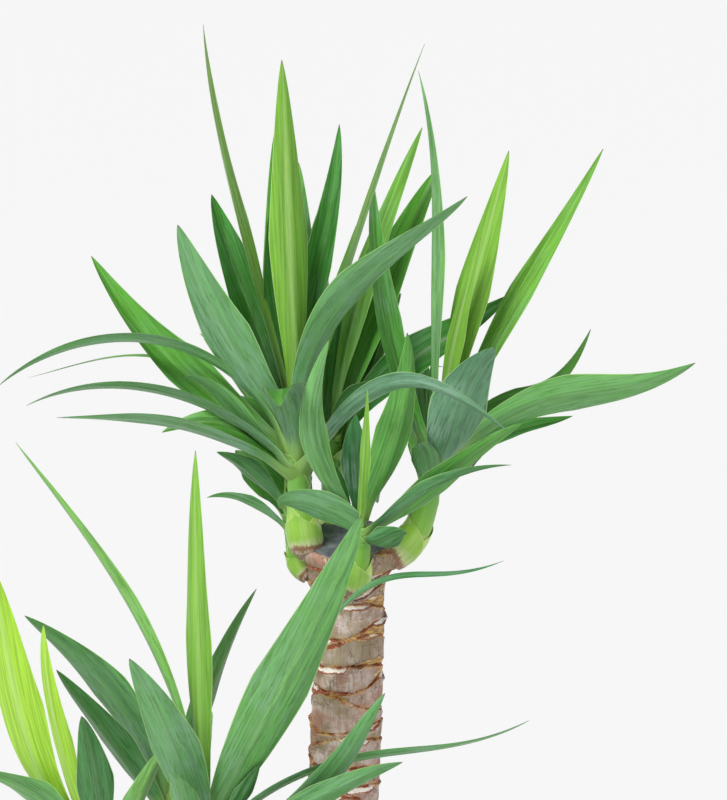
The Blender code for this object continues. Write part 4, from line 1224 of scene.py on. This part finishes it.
def bark_material():
    """Pinkish grey plates with upright striations, then what lies open along the scars.

    The distances from a scar's edges are frayed by the same noise, up to half a millimetre.
    Hairline cracks are the edges of warped cells. The crack along a shut scar, the step round a
    sunken patch and the hollows between the husk's fibres are darkened as painted shade.
    """
    made, tree, shader = start_material("bark", 0.82, 0.25)
    near, slit, patch, knob, husk = tree.marks("near", "slit", "patch", "knob", "husk")
    strands = tree.grain(620.0, 3.0, 0.7, (1.0, 1.0, 0.07))
    cloud = tree.grain(45.0, 4.0, 0.65, (1.0, 1.0, 0.8))
    speck = tree.grain(900.0, 2.0, 0.7)
    shaggy = tree.grain(240.0, 4.0, 0.72, (1.0, 1.0, 0.45))
    slanting = tree.grain(330.0, 3.0, 0.6, (0.35, 0.35, 2.0))
    zone = tree.grain(21.0, 4.0, 0.62, (1.0, 1.0, 1.3))
    fray = tree.span(tree.grain(300.0, 3.0, 0.65), 0.3, 0.7, -0.55, 0.55)
    near = tree.math("ADD", near, fray)
    slit = tree.math("ADD", slit, fray)
    patch = tree.math("ADD", patch, tree.times(fray, 1.8))

    fibre = tree.blend(tree.span(strands, 0.42, 0.60), HUSK_BROWN, PLATE_PALE)
    worn = tree.span(tree.grain(24.0, 4.0, 0.7), 0.46, 0.55)
    worn = tree.times(worn, tree.span(slanting, 0.38, 0.54, 0.2, 0.9))
    place = tree.own_place((1.0, 1.0, 0.6))
    warp = {"Vector": place, "Scale": 75.0, "Detail": 3.0}
    warp = {0: tree.node("ShaderNodeTexNoise", warp).outputs["Color"], 1: (0.016,) * 3, 2: place}
    bent = tree.node("ShaderNodeVectorMath", warp, operation="MULTIPLY_ADD").outputs[0]
    cells = {"Vector": bent, "Scale": 85.0}
    cells = tree.node("ShaderNodeTexVoronoi", cells, feature="DISTANCE_TO_EDGE")
    hairline = tree.span(cells.outputs["Distance"], 0.012, 0.05, 0.75, 0.0)
    hairline = tree.times(hairline, tree.span(tree.grain(38.0, 2.0, 0.5), 0.44, 0.58))
    ochre = tree.layers(
        BARK_OCHRE, (HUSK_BROWN, slanting, 0.40, 0.60), (BARK_SLIT, slanting, 0.34, 0.42, 0.8, 0.0)
    )

    uneven = tree.span(tree.grain(95.0, 3.0, 0.6), 0.34, 0.64, -0.9, 1.5)
    broad = tree.math("SUBTRACT", near, uneven)
    beside = tree.times(tree.span(broad, 1.7, 2.6, 0.6, 0.0), tree.span(slanting, 0.42, 0.56))
    line = tree.span(broad, 0.4, 1.5, 1.0, 0.0)
    rim = tree.span(tree.math("ABSOLUTE", slit), 0.35, 0.9, 1.0, 0.0)
    some = tree.span(tree.grain(70.0, 2.0, 0.5), 0.36, 0.54, 0.35, 1.0)
    shut = tree.span(slit, 0.0, 0.6, 1.0, 0.0)
    colour = tree.layers(
        PLATE_PINK,
        (PLATE_PALE, cloud, 0.36, 0.62),
        (PLATE_DARK, strands, 0.52, 0.70, 0.0, 0.60),
        (BARK_SLIT, strands, 0.28, 0.42, 0.40, 0.0),
        (PLATE_DARK, speck, 0.58, 0.72, 0.0, 0.60),
        (fibre, tree.times(husk, tree.span(cloud, 0.34, 0.56, 0.35, 1.0))),
        (HUSK_BROWN, tree.times(husk, tree.span(shaggy, 0.50, 0.60, 0.0, 0.85))),
        # painted shade: the deepest hollows between the husk's fibres, where the relief sinks most,
        # are near black
        (BARK_CRACK_AND_SHADE, tree.times(husk, tree.span(shaggy, 0.62, 0.70))),
        (BARK_WORN, worn),
        (BARK_OLIVE, zone, 0.50, 0.58, 0.0, 0.72),
        (BARK_RUDDY, zone, 0.40, 0.48, 0.66, 0.0),
        (PLATE_DARK, hairline),
        (ochre, patch, 0.1, 0.6, 0.0, 0.95),
        # painted shade: a dark line round each ochre patch, along the step down to its sunken floor
        (PLATE_DARK, tree.math("ABSOLUTE", patch), 0.25, 0.75, 0.8, 0.0),
        (BARK_SLIT, slit, 0.2, 0.7, 0.0, 0.95),
        (BARK_OCHRE, beside),
        (BARK_RUST, tree.times(tree.math("MAXIMUM", line, rim), some)),
        # painted shade: a dark line in the crack along each shut scar, between the lip and the groove
        (BARK_CRACK_AND_SHADE, tree.times(tree.span(near, -0.2, 0.5, 0.9, 0.0), shut)),
        (BARK_CRACK_AND_SHADE, tree.times(knob, tree.span(strands, 0.40, 0.62, 0.2, 1.0))),
    )
    rough = tree.math("ADD", tree.times(strands, 0.6), tree.times(speck, 0.3))
    rough = tree.math("ADD", rough, tree.times(fray, 0.35))
    rough = tree.math("SUBTRACT", rough, tree.times(husk, shaggy, 2.5))
    tree.finish(shader, colour, rough, 0.8, 0.0009)
    return made


BARK = bark_material()


def make_cane(kind, seed):
    """A trunk, and the ring of its cut edge."""
    rings, masks = cane_surface(kind, seed)
    marks = {mark: tube_points(values[..., None]) for mark, values in masks.items()}
    make_tube(kind + "_trunk", rings, BARK, "bark", kind + "_cane", marks=marks, flat_over=70)
    return rings[-1]


CUT_EDGES = {kind: make_cane(kind, 11 + number * 10) for number, kind in enumerate(CANES)}

# %% [markdown]
# The sealed cuts
#
# The grower saws a cane to length and seals the cut with dark wax. It is brushed on, so its
# edge is uneven, it is a little thicker in some places, and it stays dull with softer gloss
# where it ran. The surface is a disc whose radius is a share of the cut edge's own outline.

# %% Wax
WAX_THICKNESS = 3.0
WAX_RINGS, UNDER_RINGS = 26, 6
WAX_REACH = 0.955, 0.03
WAX_COLOUR = (0.075, 0.088, 0.102)
WAX_DUSTY = (0.19, 0.205, 0.222)


def wax_material():
    """Slate grey, clouded with dust, with pale specks."""
    made, tree, shader = start_material("sealing_wax", 0.5)
    cloud = tree.grain(70.0, 4.0, 0.6)
    speck = tree.grain(700.0, 2.0, 0.6)
    colour = tree.layers(
        WAX_COLOUR, (WAX_DUSTY, cloud, 0.42, 0.66), (PLATE_PALE, speck, 0.66, 0.74, 0.0, 0.7)
    )
    tree.finish(shader, colour, speck, 0.3, 0.0008, tree.span(cloud, 0.3, 0.7, 0.35, 0.7))
    return made


WAX = wax_material()


def make_wax(kind, seed):
    """A closed skin: out along its underside, over a rolled edge, and back over the top."""
    edge = CUT_EDGES[kind]
    middle = edge.mean(axis=0)
    turn = all_round(CANE_COLUMNS)
    reach = WAX_REACH[0] + WAX_REACH[1] * waves(seed, 7, 2, 11, turn, 0, 0)
    v = np.linspace(0, 1, WAX_RINGS)[:, None]
    inward = 1 - 0.999 * smooth((v - 0.15) / 0.85)
    ground = 0.35 * waves(seed + 1, 9, 1, 6, turn[None], v * 9, 1.0) * smooth(v / 0.3)
    rise = GAP + WAX_THICKNESS * np.sqrt(smooth(v / 0.22)) * 0.8 + ground
    outward = np.linspace(0.001, 0.98, UNDER_RINGS)[:, None]
    shares = np.concatenate([outward, inward]) * reach
    rings = middle + (edge - middle)[None] * shares[..., None]
    rings[:UNDER_RINGS, :, 2] += GAP * 0.5
    rings[UNDER_RINGS:, :, 2] += rise
    make_tube(kind + "_seal", rings, WAX, "seal", kind + "_wax")


for number, kind in enumerate(CANES):
    make_wax(kind, 90 + number)

# %% [markdown]
# The pot and its compost
#
# The pot is a plain thick-walled nursery pot. Its outline is turned round the middle line, with
# rounded edges worked out as arcs. The compost is a round patch of uneven ground with a few
# hundred crumbs of bark and fibre on it, each a small lumpy ball of a few dozen faces.

# %% The pot's outline
POT_RIM_RADIUS, POT_FOOT_RADIUS = 124.0, 94.0
POT_WALL, POT_FLOOR = 3.2, 5.0
RIM_HEIGHT, RIM_PROUD = 28.0, 4.0
INNER_TOP = POT_RIM_RADIUS - RIM_PROUD - POT_WALL
FOOT_ROUNDING, STEP_ROUNDING, RIM_ROUNDING = 2.5, 1.4, 1.3
UNDER_RAISED, FOOT_RING = 0.4, 12
POT_SIDES = 160
POT_COLOUR = (0.030, 0.031, 0.033)
POT_DUST = (0.12, 0.11, 0.10)


def arc(radius, height, rounding, start, end, n=6):
    """Points round a corner: its centre plus the rounding times cosine and sine."""
    a = np.radians(np.linspace(start, end, n))
    return np.stack([radius + rounding * np.cos(a), height + rounding * np.sin(a)], -1)


def pot_outline():
    """Radius and height, from the middle of the underside, up the outside, and down inside."""
    under_rim = POT_HEIGHT - RIM_HEIGHT
    slope = (POT_RIM_RADIUS - RIM_PROUD - POT_FOOT_RADIUS) / under_rim
    inner_foot = POT_FOOT_RADIUS - POT_WALL + slope * POT_FLOOR
    heights = np.linspace(6, under_rim - 3, 14)
    inside = [np.linspace(INNER_TOP, inner_foot, 12), np.linspace(under_rim, POT_FLOOR + 0.5, 12)]
    ring = POT_FOOT_RADIUS - FOOT_ROUNDING
    lip = POT_HEIGHT - RIM_ROUNDING
    parts = [
        [(0.5, UNDER_RAISED), (POT_FOOT_RADIUS - FOOT_RING - 2, UNDER_RAISED)],
        [(POT_FOOT_RADIUS - FOOT_RING, 0)],
        arc(ring, FOOT_ROUNDING, FOOT_ROUNDING, -90, 0),
        np.stack([POT_FOOT_RADIUS + slope * heights, heights], -1),
        arc(POT_RIM_RADIUS - 2.6, under_rim + STEP_ROUNDING, STEP_ROUNDING, -90, -10, 5),
        arc(POT_RIM_RADIUS - RIM_ROUNDING, lip, RIM_ROUNDING, 0, 90),
        arc(INNER_TOP + RIM_ROUNDING, lip, RIM_ROUNDING, 90, 180),
        np.stack(inside, -1),
        [(inner_foot - 4, POT_FLOOR), (0.5, POT_FLOOR)],
    ]
    return np.concatenate([np.asarray(part, float) for part in parts])


def pot_material():
    """Dark moulded plastic: an even grain, faint rings from the mould, and a little dust."""
    made, tree, shader = start_material("pot_plastic", 0.5)
    grain = tree.grain(1400.0, 2.0, 0.6)
    rings = tree.grain(260.0, 2.0, 0.5, (0.02, 0.02, 1.0))
    dust = tree.grain(14.0, 5.0, 0.65)
    colour = tree.layers(POT_COLOUR, (POT_DUST, dust, 0.48, 0.75, 0.0, 0.35))
    height = tree.math("ADD", tree.times(grain, 0.4), tree.times(rings, 0.6))
    tree.finish(shader, colour, height, 0.22, 0.0006, tree.span(dust, 0.3, 0.7, 0.42, 0.62))
    return made


def make_pot():
    """The outline turned: its radius times cosine and sine of the turn, at its own height."""
    outline, turn = pot_outline(), all_round(POT_SIDES)
    radius, height = outline[:, :1], outline[:, 1:]
    rings = np.stack([radius * np.cos(turn), radius * np.sin(turn), height + 0 * turn], -1)
    make_tube("pot_shell", rings, pot_material(), "pot_plastic", "pot", flat_over=40)


make_pot()

# %% The compost
SOIL_RINGS, SOIL_SIDES = 60, 180
SOIL_SUNK = 2.0
# height, pace along x and y, and start of each wave in the ground
SOIL_WAVES = (
    (0.9, 0.05, 0.03, 0.4),
    (0.7, -0.07, 0.09, 2.0),
    (0.4, 0.21, -0.16, 1.1),
    (0.3, 0.33, 0.35, 3.0),
)
BANK, BANK_RADIUS, BANK_SIZE = 3.0, 44, 12.0
CRUMBS, CRUMB_ROWS, CRUMB_SIDES = 900, 5, 7
OFF_CANE = 43
SOIL_DARK = (0.016, 0.010, 0.007)
SOIL_PALE = (0.060, 0.036, 0.022)
SOIL_FIBRE = (0.16, 0.10, 0.06)


def soil_height(x, y):
    """Uneven ground: waves across the patch, and a low bank round the foot of each cane."""
    ground = sum(h * np.sin(a * x + b * y + c) for h, a, b, c in SOIL_WAVES)
    for foot, _ in CANES.values():
        away = np.hypot(x - foot[0], y - foot[1])
        ground = ground + BANK * hill(away - BANK_RADIUS, BANK_SIZE)
    return SOIL_LEVEL - SOIL_SUNK + ground


def compost_material():
    """Nearly black crumbs with pale fibres."""
    made, tree, shader = start_material("compost", 0.95, 0.2)
    cloud = tree.grain(120.0, 4.0, 0.7)
    fibre = tree.grain(900.0, 3.0, 0.7, (1.0, 0.3, 1.0))
    colour = tree.layers(
        SOIL_DARK, (SOIL_PALE, cloud, 0.35, 0.65), (SOIL_FIBRE, fibre, 0.62, 0.75, 0.0, 0.6)
    )
    tree.finish(shader, colour, fibre, 0.9, 0.002)
    return made


COMPOST = compost_material()


def make_soil():
    """Rings from the middle of the underside out, up the edge, and back in over the top."""
    turn = all_round(SOIL_SIDES)
    edge = INNER_TOP - GAP
    low_edge = POT_FOOT_RADIUS - POT_WALL + 0.3
    side = [(low_edge + 0.9 * (edge - low_edge), 170.0), (edge - 0.5, SOIL_LEVEL - 6)]
    under = [(radius, POT_FLOOR + GAP) for radius in np.linspace(1, low_edge, 4)]
    top = [(radius, np.nan) for radius in np.linspace(edge, 1, SOIL_RINGS)]
    outline = np.array(under + side + top)
    x, y = outline[:, :1] * np.cos(turn), outline[:, :1] * np.sin(turn)
    z = np.where(np.isnan(outline[:, 1:]), soil_height(x, y), outline[:, 1:])
    make_tube("compost_ground", np.stack([x, y, z], -1), COMPOST, "compost", "soil")


def make_crumbs():
    """Lumpy balls: a latitude and longitude grid whose radius differs from point to point."""
    rng = np.random.default_rng(7)
    radius = (INNER_TOP - 6) * np.sqrt(rng.uniform(0.002, 1, CRUMBS))
    turn = rng.uniform(0, TURN, CRUMBS)
    x, y = radius * np.cos(turn), radius * np.sin(turn)
    feet = [foot for foot, _ in CANES.values()]
    free = np.all([np.hypot(x - foot[0], y - foot[1]) > OFF_CANE for foot in feet], axis=0)
    x, y = x[free, None, None], y[free, None, None]
    each = (len(x), 1, 1)
    size = rng.uniform(0.8, 2.6, each) * rng.uniform(0.8, 1.2, each)
    lat = np.linspace(-1.25, 1.25, CRUMB_ROWS)[:, None]
    lon = all_round(CRUMB_SIDES)
    lump = size * rng.uniform(0.7, 1.25, (len(x), CRUMB_ROWS, CRUMB_SIDES))
    long = rng.uniform(0.8, 2.0, each)
    heading = rng.uniform(0, TURN, each)
    a = lump * np.cos(lat) * np.cos(lon) * long
    b = lump * np.cos(lat) * np.sin(lon)
    px = x + a * np.cos(heading) - b * np.sin(heading)
    py = y + a * np.sin(heading) + b * np.cos(heading)
    pz = soil_height(x, y) + size * 0.35 + lump * np.sin(lat) * 0.8
    surfaces = [(tube_points(ball), np.zeros((1, 1))) for ball in np.stack([px, py, pz], -1)]
    points, _, quads, fans = joined(surfaces, CRUMB_ROWS, CRUMB_SIDES)
    make_piece("compost_crumbs", points, [quads, fans], [COMPOST], "compost", "soil")


make_soil()
make_crumbs()
